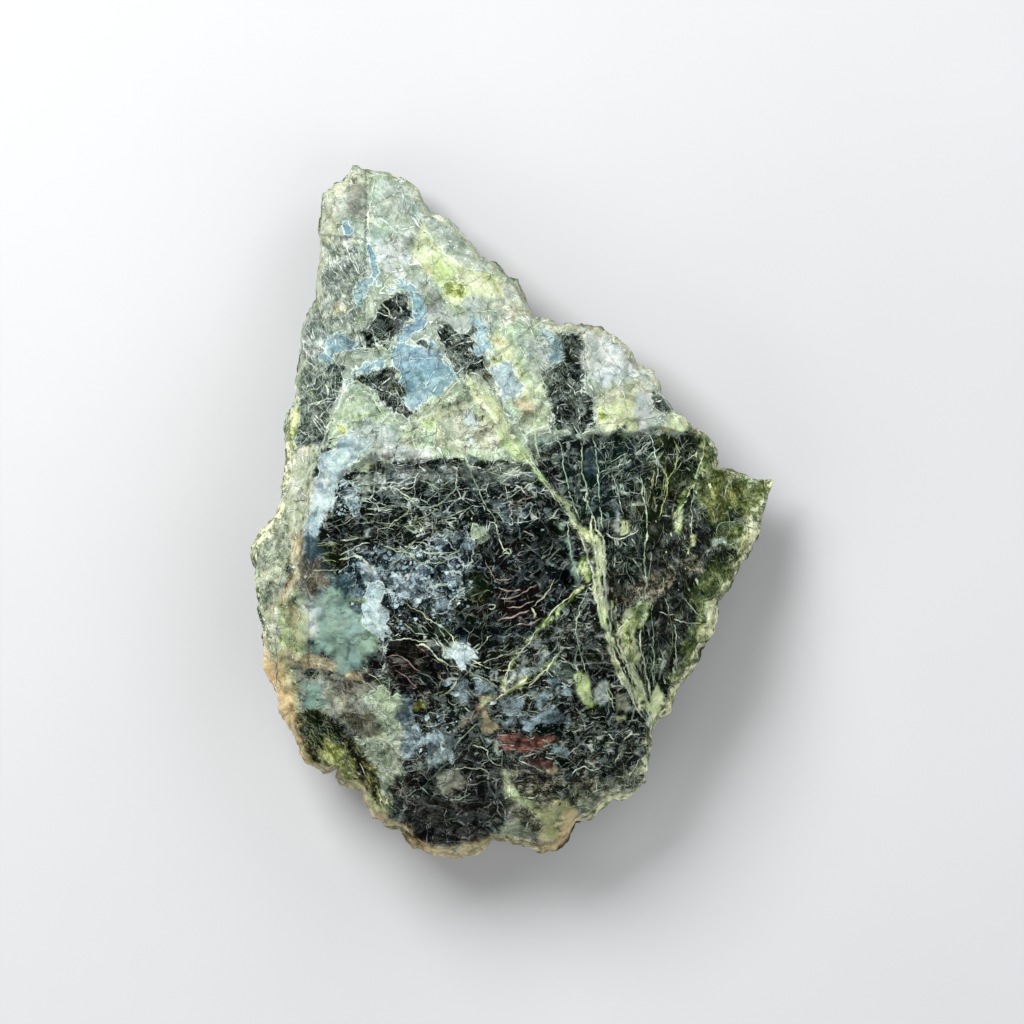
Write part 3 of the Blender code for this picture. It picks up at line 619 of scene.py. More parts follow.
# Veins that can be told apart: finish, half width in mm and the line in ticks.
LINES = """
butter .14 470,380 482,400 496,422 508,440 524,458 536,474 548,490 560,506 571,521 580,532;
green .16 486,388 500,410 516,436 528,456 542,478 553,494 566,508 574,520;
butter .3 577,530 583,548 588,563 592,582 595,600 600,618 606,632 609,645 614,656 620,668 624,676 630,692
 636,708 646,722;
591,516 594,528 602,540 604,560 603,580 605,600 607,618 609,634;
butter .32 590,515 588,530 594,548 597,566 598,585 602,604;
butter .28 641,600 632,612 622,622 614,634 617,648 625,660 634,672 640,690 646,708 650,722;
butter .2 643,618 637,632 639,648 642,664 647,684 651,704 652,722;
green .16 610,640 620,656 628,670 632,688 636,700;
butter .15 584,584 574,590 563,600 553,607 545,618 538,628 527,642 517,652 508,664 504,680 502,690;
yellow .13 500,697 510,688 522,682 535,676 545,668 552,660;
green .18 566,522 566,540 570,555 573,565 578,580;
green .12 587,586 580,600 576,615 574,632 578,650 582,664;
butter .2 604,608 611,607 607,614 612,620;
butter .24 300,500 309,472 318,455 325,441 328,430 334,415 340,402 345,392 350,385 358,381 366,388 373,395
 377,403 380,412 388,418 397,422 405,424 412,425 420,419 432,416 438,408 443,398 450,390 457,381 465,376
 472,374 479,377 484,385 490,393 496,402 502,412 508,421 514,430;
butter .16 443,400 447,415 451,430 456,440 463,452 468,466 474,480;
butter .14 432,417 440,430 452,440 458,445;
white .16 484,405 492,420 500,432;
butter .1 395,424 402,432 408,441;
yellow .16 340,415 352,419 366,417 378,414;
white .18 326,440 340,437 352,436 362,432 370,427;
white .12 306,405 318,418 332,431;
white .1 306,406 320,401 336,398 344,402;
308,410 316,424 326,438;
green .1 300,385 310,374 322,362;
white .1 302,365 312,374 322,378;
304,360 316,368 328,374;
white .22 375,180 371,190 369,205 369,225 368,236;
white .12 358,221 368,219 380,218 392,228 405,238;
white .2 408,214 420,228 432,238 445,255 455,262 462,270 480,272 500,277;
white .14 350,240 346,252 352,262 360,276;
white .1 354,244 360,254 366,264;
357,240 363,250 368,258;
336,262 344,272 350,286;
328,258 334,274 346,282;
green .1 318,300 322,320 330,340;
white .1 296,330 308,344 318,356;
298,320 310,334 322,350;
butter .16 370,300 380,302 388,310 394,322;
butter .14 356,352 368,348 384,352;
green .12 506,352 514,362 520,372;
538,330 534,350 538,372 546,396;
522,340 528,352 538,362 548,366;
green .14 620,664 626,680 630,700;
green .12 555,425 560,450 565,480 570,500 578,520;
green .2 639,474 642,500 645,515 645,535 642,550 643,570 646,588;
white .1 636,430 650,436 652,448 656,470 655,490;
649,442 640,448 634,456;
612,475 616,490 618,505 622,515;
butter .25 615,518 622,524 628,528 620,533;
butter .16 703,438 702,455 694,478 688,492 683,503 676,515 674,530;
green .14 696,470 690,500 689,520 692,540;
yellow .18 660,466 667,480 663,500 658,516;
yellow .14 652,470 650,490 655,510;
672,440 677,456 672,474;
green .1 662,575 660,590 666,604 667,622;
white .12 656,610 666,615 672,613;
green .14 671,618 684,622 700,624;
682,598 690,606 694,613 703,616;
green .12 671,620 674,640 674,655 676,670;
green .1 649,600 650,620 652,660 655,690;
green .12 715,536 716,524 728,522 741,521 744,531 738,542 724,545 716,540;
yellow .2 744,532 741,545 736,557;
green .12 464,453 468,466 475,482 482,498 490,512 497,523;
butter .15 401,599 412,606 424,614 434,621 444,626 453,635 457,648 458,656;
pink .1 485,559 488,568 496,580;
pink .14 493,578 503,579 511,577;
pink .15 498,587 510,590 521,589;
pink .17 499,598 510,597 520,593 535,584;
pink .15 506,606 518,607 526,602 533,600;
pink .2 497,619 510,617 520,612 529,608;
pink .13 515,622 526,624 535,621 541,615;
butter .14 532,604 541,597 549,588 555,579;
pink .12 537,600 546,594 555,587;
butter .16 500,552 505,546 512,555 503,551 497,556;
butter .14 495,523 499,535 502,546 507,552;
pink .14 522,530 529,533 534,538;
butter .12 530,512 537,520 541,515 536,508;
butter .25 530,606 536,612 532,618;
butter .18 487,604 494,602 498,606 493,610 488,607;
butter .1 434,632 441,643 452,652;
440,628 447,640 455,650;
green .12 462,657 474,651 484,641 492,632;
butter .12 466,655 480,663 496,668 516,668;
butter .1 470,664 490,658 508,652 524,645;
green .12 468,670 486,676 498,684;
dim .14 418,671 432,675 440,685 436,694;
pink .14 396,668 408,676 416,686;
butter .1 362,664 378,676 392,692;
356,672 370,682 384,698;
green .1 330,478 345,482 360,480;
344,498 360,500 372,503;
340,540 356,539 368,537;
yellow .1 318,545 330,543 338,545;
320,553 330,552 338,554;
322,561 332,559 340,561;
green .14 314,570 330,569 342,569;
green .12 385,546 395,548 406,550;
green .16 402,496 412,502 424,508 436,507 446,500 454,490 458,482;
green .12 420,480 435,487 450,489;
440,486 456,478 466,480;
432,512 445,520 456,512 470,508;
green .14 486,470 500,478 515,470 528,462;
green .12 492,484 505,478 522,468;
butter .12 500,500 512,496 528,484 537,480;
pink .12 508,510 520,502 535,496;
green .12 506,462 495,468 480,474;
546,520 552,516 556,515;
green .14 404,524 412,534 424,530 418,520;
green .16 594,430 591,439 594,448 595,459 597,469 597,485 596,495 598,505 600,518 601,529;
green .14 580,441 580,460 581,476 584,486 585,495 584,504 591,510 592,517 591,523;
green .10 575,460 580,467;
607,464 614,460 620,456 627,454;
green .12 606,471 612,469 622,464 630,460 635,454 642,450;
green .08 604,435 604,442 602,447;
604,442 610,443 615,442;
white .08 635,444 640,439 646,435;
green .08 635,453 635,460 643,464;
green .12 644,461 648,456 655,452 660,448 662,443 658,442;
green .10 645,461 652,462 658,457 662,450;
656,456 656,465 656,474;
yellow .10 675,445 677,454;
yellow .12 673,461 673,471 668,476 664,484 662,492 659,510;
yellow .10 652,478 648,492;
green .10 613,484 615,492 618,502 619,509;
white .08 625,480 630,470;
green .14 632,476 640,482 642,490 644,500;
green .10 622,509 630,504 635,501;
white .16 604,533 609,537 615,538 624,537 632,533 637,528;
white .10 629,537 635,547;
white .08 651,540 656,545 650,548;
660,515 668,517;
green .08 679,551 690,547;
green .10 354,472 365,471 380,474;
359,479 370,475;
355,485 365,485 375,481;
butter .16 387,485 397,489 404,494 412,498 420,499 426,501 432,507 440,510;
butter .14 400,490 412,489 415,485;
green .10 426,501 432,497 440,492;
386,496 395,498 404,499;
365,499 372,500 375,496;
green .12 360,507 370,507 378,510 385,511 395,510;
butter .10 370,503 378,504 388,506 400,506;
green .10 365,514 375,514 383,513;
362,523 375,522 392,524 400,525;
green .08 367,517 366,524 371,523;
white .08 380,524 379,532;
butter .14 389,529 395,521 404,516 410,511 409,507;
butter .10 404,526 412,526 416,525;
butter .12 421,526 420,535;
butter .10 422,525 435,529;
white .08 430,535 422,540;
yellow .10 326,513 331,516 338,514;
320,543 329,544 337,543 341,544;
butter .12 342,539 352,539 361,538;
green .10 350,534 355,536 360,538;
butter .14 385,546 393,548 402,551 411,553 416,558;
butter .10 404,551 410,544 416,540;
green .12 420,550 428,553 439,553;
white .12 340,555 344,551 355,549 365,541 370,543;
351,557 359,556 367,560;
dim .15 395,799 402,795 414,789 425,784 432,776 439,767 447,762 455,756 460,750 469,744 472,740 474,734
 476,729 477,724;
green .14 454,747 457,741 462,735 469,729 472,725 477,722;
butter .12 472,742 482,745 490,747 487,752 489,759 494,762 501,763;
452,766 465,766 477,767 482,766 489,770 490,774;
butter .08 480,765 482,759 490,756;
dim .12 411,760 415,764 424,767 431,772;
sky .14 420,722 425,724 434,724 440,723 442,720 444,709 443,701;
sky .10 411,714 415,712 421,712 425,716;
butter .14 442,694 449,690 454,684 457,676;
butter .12 449,696 451,702 456,706 455,700 459,700 465,702;
butter .10 462,702 467,707 470,710;
white .12 472,676 476,675 482,675 485,679;
butter .20 495,697 499,694 504,692 511,686 520,681 527,675;
butter .16 504,692 504,682 505,672 506,670;
butter .10 492,677 499,679 502,681;
green .12 499,703 504,700 512,697 520,694 527,692 534,694;
green .10 499,710 514,711;
sky .12 506,714 512,712 520,714 527,712 535,716;
dim .12 420,675 422,680 427,684;
dim .14 409,674 417,675 425,682;
pink .10 421,691 424,697 427,700;
437,672 441,676 442,681 439,686;
butter .10 435,694 441,689 445,688;
white .14 469,777 471,775 470,780;
yellow .15 502,775 505,782 507,790 514,795 521,795 526,799;
dim .12 507,762 510,770 511,782;
501,747 501,757 501,767 502,775;
white .12 519,759 526,762 534,766;
white .10 514,770 517,766;
516,780 524,777;
butter .20 527,684 535,676 542,670 547,664 554,655 557,654;
green .10 545,667 549,676;
green .12 557,654 566,659 572,664 577,670;
577,646 574,655 574,662;
580,640 577,647 581,656 584,665 585,672;
butter .22 609,640 612,651 617,664 620,670 624,676 626,687 631,699 634,707;
butter .20 620,670 626,662 630,661 635,669;
green .16 635,669 637,677 641,690 645,700 646,710 647,721;
green .14 636,644 636,655 639,666 641,672;
650,642 652,659 651,672 652,686;
green .10 645,656 642,671 645,686;
green .14 604,686 607,695 612,705 614,710;
yellow .12 609,677 606,684 610,690 611,699;
green .10 614,695 619,692 624,692;
dim .12 559,690 565,687 572,687 575,690;
dim .14 554,700 562,701 572,702;
butter .08 574,704 579,710 585,714;
white .10 591,715 597,716 607,715;
white .14 600,729 607,732 612,739;
white .12 587,739 592,741;
butter .20 620,740 624,736 629,731 635,732 645,732;
butter .10 604,740 612,740 619,744 622,745;
green .14 612,762 617,756 619,750 624,745;
white .12 634,742 636,739;
butter .12 545,755 551,757 556,761 559,766;
white .12 571,772 577,767 584,764 590,769 600,766;
white .08 596,764 602,770;
white .14 627,776 631,770 635,761 639,757;
white .12 645,756 646,765 645,775;
green .12 649,710 650,732 649,750 650,765 649,777;
butter .10 524,762 536,766 545,771;
butter .22 340,559 347,561 352,556 360,555 367,560 372,567 375,572;
green .16 404,551 407,552 414,556 417,561 422,563 432,562 442,562 452,554 460,550 462,545;
butter .12 390,564 399,561 402,556 407,549 414,542 421,541 430,545;
butter .14 420,549 425,552 440,552 454,552;
400,581 405,576 410,572;
butter .12 387,620 392,622 397,624;
butter .10 394,634 402,631;
412,621 420,623 426,626 429,630;
green .12 405,622 407,626 415,631 420,632 430,633;
butter .14 390,639 401,638 410,636 416,638 420,640 432,639;
butter .20 416,643 425,644 431,649 436,656 445,660 452,664 459,665;
butter .12 432,636 439,644 444,650 452,655;
439,639 447,646 455,647;
380,645 384,647 391,647;
pink .14 389,654 397,653 402,654 410,660 415,666 421,670;
pink .10 389,660 400,660;
green .14 471,647 480,642;
butter .10 470,657 480,656;
465,660 472,664 480,665;
white .12 405,592 412,591;
432,597 441,597;
green .14 431,585 440,584 447,586;
yellow .18 371,185 370,203 369,227;
yellow .14 357,222 372,224 392,227;
white .10 358,250 363,262;
352,255 360,275;
329,253 333,267;
340,275 348,287;
302,337 307,362 317,370;
white .12 307,407 318,403 333,402;
white .10 310,412 318,423 327,433;
318,422 327,410 333,403;
303,393 318,390 333,373 340,358;
white .16 326,383 329,398;
white .10 335,375 337,407;
yellow .14 348,418 378,413;
butter .10 378,413 392,427 398,435;
butter .16 435,418 445,433 460,445;
green .12 445,403 450,423 455,437 462,448 468,462 472,475 477,487;
butter .12 468,403 477,417 487,420;
green .12 485,387 488,407 500,427 503,437;
butter .12 302,487 310,467 325,447 340,438 363,435;
white .08 402,360 440,360;
440,378 453,385;
butter .18 503,350 510,360 518,370 523,382 530,398 533,413 532,427 535,440 539,458;
"""


def tint(colour):
    """Screen colour, 0 to 255, to the shader's linear colour."""
    value = np.array(colour) / 255
    return np.where(value <= 0.04045, value / 12.92, ((value + 0.055) / 1.055) ** 2.4)


def read_rows(text):
    """The rows of a list: a finish, its sizes and its corners. A row of corners alone has the finish and
    the sizes of the row before it."""
    for row in text.split(";")[:-1]:
        words = row.split()
        if "," not in words[0]:
            finish, *sizes = (word for word in words if "," not in word)
            sizes = [float(word) for word in sizes]
        yield finish, sizes, corners(" ".join(word for word in words if "," in word))


def on_sheet(outline):
    """Ticks of the ruled sheet, from its top left corner, to mm from the stone's middle."""
    return [((x - SHEET_MIDDLE[0]) * TICK, (SHEET_MIDDLE[1] - y) * TICK) for x, y in outline]


# ---- Arithmetic on whole arrays ----

def ease(value):
    """0 below 0, 1 above 1, and 3v2 - 2v3 between."""
    value = np.clip(value, 0, 1)
    return value * value * (3 - 2 * value)


def cell_random(cell, seed):
    """A number from 0 to 1 for each whole-numbered cell: the fraction of a large sine."""
    mixed = np.sin(cell @ np.array([127.1, 311.7, 74.7]) + seed * 17.31) * 43758.5453
    return mixed - np.floor(mixed)


def soft_noise(points, size, seed):
    """Gradient noise: random slopes at the corners of cubes `size` across, blended; about -1 to 1."""
    scaled = points / size
    cell = np.floor(scaled)
    part = scaled - cell
    blend = part ** 3 * (part * (part * 6 - 15) + 10)
    total = np.zeros(len(points))
    for corner in itertools.product((0, 1), repeat=3):
        corner = np.array(corner)
        weight = np.prod(np.where(corner == 1, blend, 1 - blend), axis=1)
        slope = np.stack([cell_random(cell + corner, seed + axis) for axis in range(3)], axis=1)
        total += weight * np.sum((part - corner) * (2 * slope - 1), axis=1)
    return total * 1.7


def uneven(points, layers):
    """Noise of several sizes laid over each other."""
    return sum(height * soft_noise(points, size, seed) for size, height, seed in layers)


def pushed(points, *ways):
    """A push along X and along Y at each point, each by unevenness of its own."""
    return np.stack([uneven(points, layers) for layers in ways], axis=1)


def sharp(points, size, seed):
    """Ridges: 1 along their crests and about -1 between them."""
    return 1 - 2 * abs(soft_noise(points, size, seed))


def at_level(places, level=0.0):
    """Flat places as points at one height."""
    return np.column_stack([places, np.full(len(places), level)])


def overlaid(under, over, part):
    """One row of numbers for each point laid over another, by a part for each point."""
    return under + (over - under) * part[:, None]


def plates(places, size, seed):
    """Flake pattern: one random spot in each square; every place takes the random height and tilt of
    its nearest spot. Returns that height, about -1 to 1, and the gap to the flake's edge."""
    scaled = places / size
    cell = np.floor(scaled)
    best = np.full(len(places), 1e9)
    second = best.copy()
    height = np.zeros(len(places))
    for step in itertools.product((-1, 0, 1), repeat=2):
        at = np.column_stack([cell + np.array(step), np.zeros(len(places))])
        spot = at[:, :2] + np.stack([cell_random(at, seed), cell_random(at, seed + 1)], axis=1)
        away = scaled - spot
        gap = np.sum(away ** 2, axis=1)
        tilt = np.stack([cell_random(at, seed + 2), cell_random(at, seed + 3)], axis=1) - 0.5
        here = (cell_random(at, seed + 4) - 0.5) + 1.4 * np.sum(away * tilt, axis=1)
        nearer = gap < best
        second = np.where(nearer, best, np.minimum(second, gap))
        height = np.where(nearer, here, height)
        best = np.minimum(best, gap)
    return height * 2, (np.sqrt(second) - np.sqrt(best)) * size


def distance_to_line(places, line):
    """Shortest way in mm from each place to a line drawn through the listed places."""
    nearest = np.full(len(places), 1e9)
    for start, end in zip(line, line[1:]):
        start = np.array(start, float)
        run = np.array(end, float) - start
        along = np.clip((places - start) @ run / (run @ run), 0, 1)
        gap = np.linalg.norm(places - start - along[:, None] * run, axis=1)
        nearest = np.minimum(nearest, gap)
    return nearest


def depth_inside(places, outline):
    """How far in mm each place lies inside an outline; negative outside."""
    inside = np.zeros(len(places), bool)
    x, y = places.T
    closed = outline + outline[:1]
    for (x0, y0), (x1, y1) in zip(closed, closed[1:]):
        spans = (y0 > y) != (y1 > y)
        run = (y1 - y0) if y1 != y0 else 1e-9
        inside ^= spans & (x < x0 + (x1 - x0) * (y - y0) / run)
    return np.where(inside, 1, -1) * distance_to_line(places, closed)


def lengths_along(line):
    """How far along a line each of its corners lies."""
    return np.append(0, np.cumsum(np.linalg.norm(np.diff(line, axis=0), axis=1)))


def places_along(line, at):
    """The places that lie this far along a line."""
    length = lengths_along(line)
    return np.stack([np.interp(at, length, line[:, axis]) for axis in (0, 1)], axis=1)


def rim_place(part_way):
    """The place on the rim that lies this part of the way round it, by length."""
    line = np.array(RIM + RIM[:1])[::-1]
    return places_along(line, part_way * lengths_along(line)[-1])


def way_round(u, v):
    """Part of the way round a square for a point (u, v) in it, even along the sides."""
    sideways = abs(u) >= abs(v)
    across = np.where(sideways, v, -u) / np.maximum(np.maximum(abs(u), abs(v)), 1e-9)
    side = np.where(sideways, np.where(u > 0, 0, 4), np.where(v > 0, 2, 6))
    across = np.where((side == 4) | (side == 6), -across, across)
    return (side + across) / 8 % 1


def layer_at(points):
    """Which cleavage layer each point is in, and how far up in it the point is, from 0 to 1."""
    bent = points[:, 2] + points[:, :2] @ np.array(LAYER_TILT) + uneven(points, LAYER_BEND)
    level = bent / LAYER_THICK
    layer = np.floor(level)
    return layer, level - layer


# ---- The stone's shape ----

def distance_towards(places, at_x, at_y, turn):
    """How far each place lies beyond one place, towards this heading in degrees."""
    turn = math.radians(turn)
    x, y = places.T
    return (x - at_x) * math.cos(turn) + (y - at_y) * math.sin(turn)


def broken_faces(places):
    """Height of the lowest of the top's tilted planes at each place, with worn edges between them."""
    flat = at_level(places)
    long_wave, short_wave = ARRIS_WAVES
    total = 0
    for at_x, at_y, height, turn, fall in TOP_FACES.values():
        wander = soft_noise(flat, long_wave, at_x) + SMALL_WAVE * soft_noise(flat, short_wave, at_y)
        plane = height - fall * distance_towards(places, at_x, at_y, turn)
        total = total + np.exp(-(plane + ARRIS_WANDER * wander) / ARRIS)
    return -ARRIS * np.log(total)


def top_height(places):
    """The broken face: tilted planes, the ledge, the hollow with its rings, the steps, the veins and
    the lumps."""
    flat = at_level(places)
    ragged = uneven(flat, RAGGED)
    height = broken_faces(places)
    height += LEDGE_STEP * (ease((depth_inside(places, LEDGE) + ragged) / LEDGE_EDGE) - 1)
    in_bowl = ease((depth_inside(places, BOWL) + ragged) / BOWL_EDGE)
    from_middle = np.linalg.norm(places - np.array(BOWL_CENTRE), axis=1) / BOWL_REACH
    height -= in_bowl * (BOWL_STEP + BOWL_DISH * ease(1 - from_middle))
    from_rings = np.linalg.norm(places - np.array(RING_CENTRE), axis=1) + uneven(flat, RING_BEND)
    height += in_bowl * RING_HEIGHT * (1 - abs(np.sin(from_rings * math.pi / RING_APART)))
    for outline, rise, edge in STEPS:
        height += rise * ease((depth_inside(places, corners(outline)) + ragged * STEP_RAGGED) / edge + 0.5)
    for line, tall, half_width in VEINS:
        gap = distance_to_line(places + VEIN_RAGGED * ragged[:, None], line)
        height += tall * np.exp(-(gap / half_width) ** 2)
    for x, y, half_width, tall in LUMPS:
        gap = np.linalg.norm(places - np.array([x, y]), axis=1) + ragged * LUMP_RAGGED
        height += tall * np.exp(-(gap / half_width) ** 2)
    crests = RIDGE * (1 - 2.2 * abs(soft_noise(flat, RIDGE_SIZE, RIDGE_SEED)))
    flaked = uneven(flat, FLAKED)
    level = flaked / PLATE_STEP
    stepped = PLATE_STEP * (np.floor(level) + ease((level - np.floor(level)) * 4)) - flaked
    height += uneven(flat, SWELLS) + crests + stepped * PLATE_DEPTH
    _, part = layer_at(np.column_stack([places, height]))
    return height + LAYER_LEDGE * LAYER_THICK * (ease(part * 1.6 - 0.3) - part)


def fine_relief(places, grain):
    """What is too fine for the solid: tilted plates of two sizes, small ridges, and ribs on the grain."""
    flat = at_level(places)
    bent = places + pushed(flat, *PLATE_BEND)
    relief = 0
    for spread, (size, height, edge, seed) in ((bent, LARGE_PLATES), (bent * SMALL_CLOSER, SMALL_PLATES)):
        level, from_edge = plates(spread, size, seed)
        relief = relief + height * level * ease(from_edge / edge)
    ribs = sharp(at_level(grain[:, :2] / (RIB_ACROSS, RIB_ALONG)), 1, RIB_SEED)
    size, height, seed = CRUMB
    return relief + RIB_HEIGHT * ribs * grain[:, 2] + height * sharp(flat, size, seed)


def underside_height(places):
    """The cleavage plane: nought in the flat middle, and tilted planes that rise to the rim."""
    height = np.zeros(len(places))
    for at_x, at_y, turn, rise in UNDER_FACES.values():
        height = np.maximum(height, rise * distance_towards(places, at_x, at_y, turn))
    return height + uneven(at_level(places, UNDER_LEVEL), UNDER_ROUGH) * ease(height / UNDER_BLEND)


# Which way the grain runs: outline in ticks, the heading in degrees from +X, or the place in ticks
# that it fans out from, and how strongly it ribs the surface.
GRAINS = [
    ("280,230 365,240 365,330 320,390 300,450 280,450", 108, 1),
    ("365,165 420,165 540,320 420,420 365,330", 118, 0.3),
    ("560,430 800,400 800,600 650,740 600,620 590,540", (560, -40), 1),
    ("320,440 540,440 560,500 500,560 340,560", 8, 0.8),
    ("460,530 590,530 560,640 460,700", 25, 0.5),
    ("290,700 330,700 400,810 370,830 290,780", -58, 1),
    ("240,440 310,440 310,700 240,740", 95, 0.8),
    ("480,725 580,725 580,775 480,775", -5, 0.9),
]
PLAIN_RIBS = 0.25  # how strongly the rest is ribbed
FAN_WIDTH = 60  # width in mm that one radian of a fan counts as


def grain_at(places):
    """Way across and along the grain in mm at each place, and how strongly it ribs the surface."""
    across = places[:, 1].copy()
    along = places[:, 0].copy()
    ribs = np.full(len(places), PLAIN_RIBS)
    for outline, heading, strength in GRAINS:
        inside = depth_inside(places, on_sheet(corners(outline))) > 0
        if isinstance(heading, tuple):
            away = places - np.array(on_sheet([heading])[0])
            turned = (np.arctan2(away[:, 1], away[:, 0]) * FAN_WIDTH, np.linalg.norm(away, axis=1))
        else:
            turn = math.radians(heading)
            turned = (places @ np.array([-math.sin(turn), math.cos(turn)]),
                      places @ np.array([math.cos(turn), math.sin(turn)]))
        across = np.where(inside, turned[0], across)
        along = np.where(inside, turned[1], along)
        ribs = np.where(inside, strength, ribs)
    return np.stack([across, along, ribs], axis=1)


def face_height(places):
    """The height of the finished broken face at each place: the solid's form and the fine relief."""
    return top_height(places) + fine_relief(places, grain_at(places))


def stone_points(u, v, drop):
    """Bends a cube into the stone. (u, v) is the place on the square, which goes out from the heart to
    the rim; drop is 0 on top, 1 underneath, and on the wall it is the part of the way down."""
    outward = np.maximum(abs(u), abs(v))
    rim = rim_place(way_round(u, v))
    inset = np.where(drop < 0.5, WALL_TOP_INSET, WALL_UNDER_INSET) * (2 * drop - 1) ** 2
    places = HEART + (outward * (1 - inset))[:, None] * (rim - HEART)
    under = underside_height(places)
    top = np.maximum(face_height(places), under + LEAST_THICK)
    thick = top - under
    points = np.column_stack([places, top - drop * thick])
    layer, part = layer_at(points)
    edges = [soft_noise(np.column_stack([places, LAYER_CHIP * 3.7 * (layer + step)]), LAYER_CHIP, LAYER_SEED)
             for step in (0, 1)]
    edge = edges[0] + (edges[1] - edges[0]) * ease(part * 4 - 3)
    size, height, seed = WALL_RIDGES
    fine = height * sharp(points * (1, 1, 0.6), size, seed) + uneven(points, [WALL_GRIT])
    on_wall = outward ** 8 * ease(2.5 * np.sin(math.pi * drop)) * ease(thick / FULL_WALL)
    push = on_wall * np.minimum(LAYER_REACH * (edge - 0.25) + uneven(points, CHIPPED), 0)
    push += outward ** 8 * np.sin(math.pi * drop) * ease(thick / FINE_WALL) * fine
    away = (rim - HEART) / np.maximum(np.linalg.norm(rim - HEART, axis=1), 1e-6)[:, None]
    points[:, :2] += away * push[:, None]
    return points


def square_ring(size):
    """Index numbers round the edge of a square grid with size + 1 points a side, anticlockwise: the
    right side upwards first."""
    side = np.arange(size)

    def number(column, row):
        return row * (size + 1) + column

    return np.concatenate([number(side * 0 + size, side), number(size - side, side * 0 + size),
                           number(side * 0, size - side), number(side, side * 0)])


def band(outer, inner):
    """Faces between two rings of points with the same count, as seen with outer below inner."""
    return np.stack([outer, np.roll(outer, -1), np.roll(inner, -1), inner], axis=1)


def sheet_of(part, low, high):
    """Puts texture places from 0 to 1 into one corner of the texture sheet."""
    return np.array(low) + part * (np.array(high) - np.array(low))


def stone_grid():
    """The stone's points, faces and texture places: a square top, rows of wall, and rings that thin
    out underneath. The top fills the large square of the sheet, the wall's four sides are strips above
    it, and the underside lies to its right as seen from above."""
    line = np.linspace(-1, 1, TOP_CELLS + 1)
    u, v = (grid.ravel() for grid in np.meshgrid(line, line))
    drop = np.zeros(len(u))
    number = np.arange(len(u)).reshape(TOP_CELLS + 1, TOP_CELLS + 1)
    top = np.stack([number[:-1, :-1], number[:-1, 1:], number[1:, 1:], number[1:, :-1]], axis=-1)
    top = top.reshape(-1, 4)
    faces = [top]
    sheet = [sheet_of(np.stack([u, v], axis=1)[top] / 2 + 0.5, *TOP_SHEET)]
    ring = square_ring(TOP_CELLS)
    edge_u, edge_v = u[ring], v[ring]
    parts = [(u, v, drop)]
    count = len(u)
    above = ring
    around = np.arange(len(ring))
    strip = around // TOP_CELLS
    along = np.stack([around, around + 1, around + 1, around], axis=1) - (strip * TOP_CELLS)[:, None]
    low = np.stack([np.full(len(ring), WALL_SHEET[0]), WALL_SHEET[1] + STRIP_APART * strip], axis=1)[:, None]
    for row in range(1, WALL_ROWS + 1):
        below = count + np.arange(len(ring))
        faces.append(band(below, above))
        down = np.tile(np.array([row, row, row - 1, row - 1]), (len(ring), 1)) / WALL_ROWS
        places = np.stack([along / TOP_CELLS, down], axis=-1)
        sheet.append(low + places * STRIP_SIZE)
        parts.append((edge_u, edge_v, np.full(len(ring), row / WALL_ROWS)))
        above = below
        count += len(ring)
    under = []
    triangles = []
    for outward, fewer in UNDER_RINGS:
        edge_u, edge_v = edge_u[::fewer], edge_v[::fewer]
        inner = count + np.arange(len(edge_u))
        if fewer == 1:
            under.append(band(inner, above))
        else:
            even, odd = above[::2], above[1::2]
            triangles.append(np.stack([even, inner, odd], axis=1))
            under.append(np.stack([odd, inner, np.roll(inner, -1), np.roll(even, -1)], axis=1))
        parts.append((edge_u * outward, edge_v * outward, np.ones(len(edge_u))))
        above = inner
        count += len(inner)
    u, v, drop = (np.concatenate(values) for values in zip(*parts))
    points = stone_points(u, v, drop)
    below = sheet_of((points[:, :2] - BOX_LOW) / BOX_SIZE, *UNDER_SHEET)
    under = np.concatenate(under)
    triangles = np.concatenate(triangles)
    last = above[::-1]
    faces = np.concatenate(faces + [under]).tolist() + triangles.tolist() + [last.tolist()]
    sheet = np.concatenate([part.reshape(-1, 2) for part in sheet]
                           + [below[under].reshape(-1, 2), below[triangles].reshape(-1, 2), below[last]])
    return points, drop, faces, sheet


def read_finishes(text):
    """Each finish as a row of numbers: the two colours, the rest, and how near a seam it is."""
    return {name: np.concatenate([tint(dark), tint(light), rest, [FAR]])
            for name, rest, (dark, light) in read_rows(text)}


def paint_places(cover, places, ragged):
    """Lays each finish over those before it, inside its outline, with a ragged edge."""
    seam = np.full(len(places), -FAR)
    for name, (rough_edge, soft), outline in read_rows(PLACES):
        depth = depth_inside(places, on_sheet(outline)) + ragged * rough_edge
        cover = overlaid(cover, SKINS[name], ease(depth / soft + 0.5))
        seamed = name in SEAMED_PATCHES
        seam = np.where(depth > 0, depth if seamed else FAR, seam)
        if seamed:
            seam = np.where(np.abs(depth) < np.abs(seam), depth, seam)
    return cover, seam


def paint_veins(cover, places, ragged):
    """Lays the broad veins over the places, each as wide as its three half widths say."""
    for name, (first, middle, last), line in read_rows(BROAD_VEINS):
        line = on_sheet(line)
        start, end = np.array(line[0]), np.array(line[-1])
        along = np.clip((places - start) @ (end - start) / np.sum((end - start) ** 2), 0, 1)
        width = first + (last - first) * along + 4 * along * (1 - along) * (middle - (first + last) / 2)
        gap = distance_to_line(places, line) + ragged * VEIN_PAINT_RAGGED
        cover = overlaid(cover, SKINS[name], ease((width - gap) / VEIN_PAINT_EDGE + 0.5))
    return cover


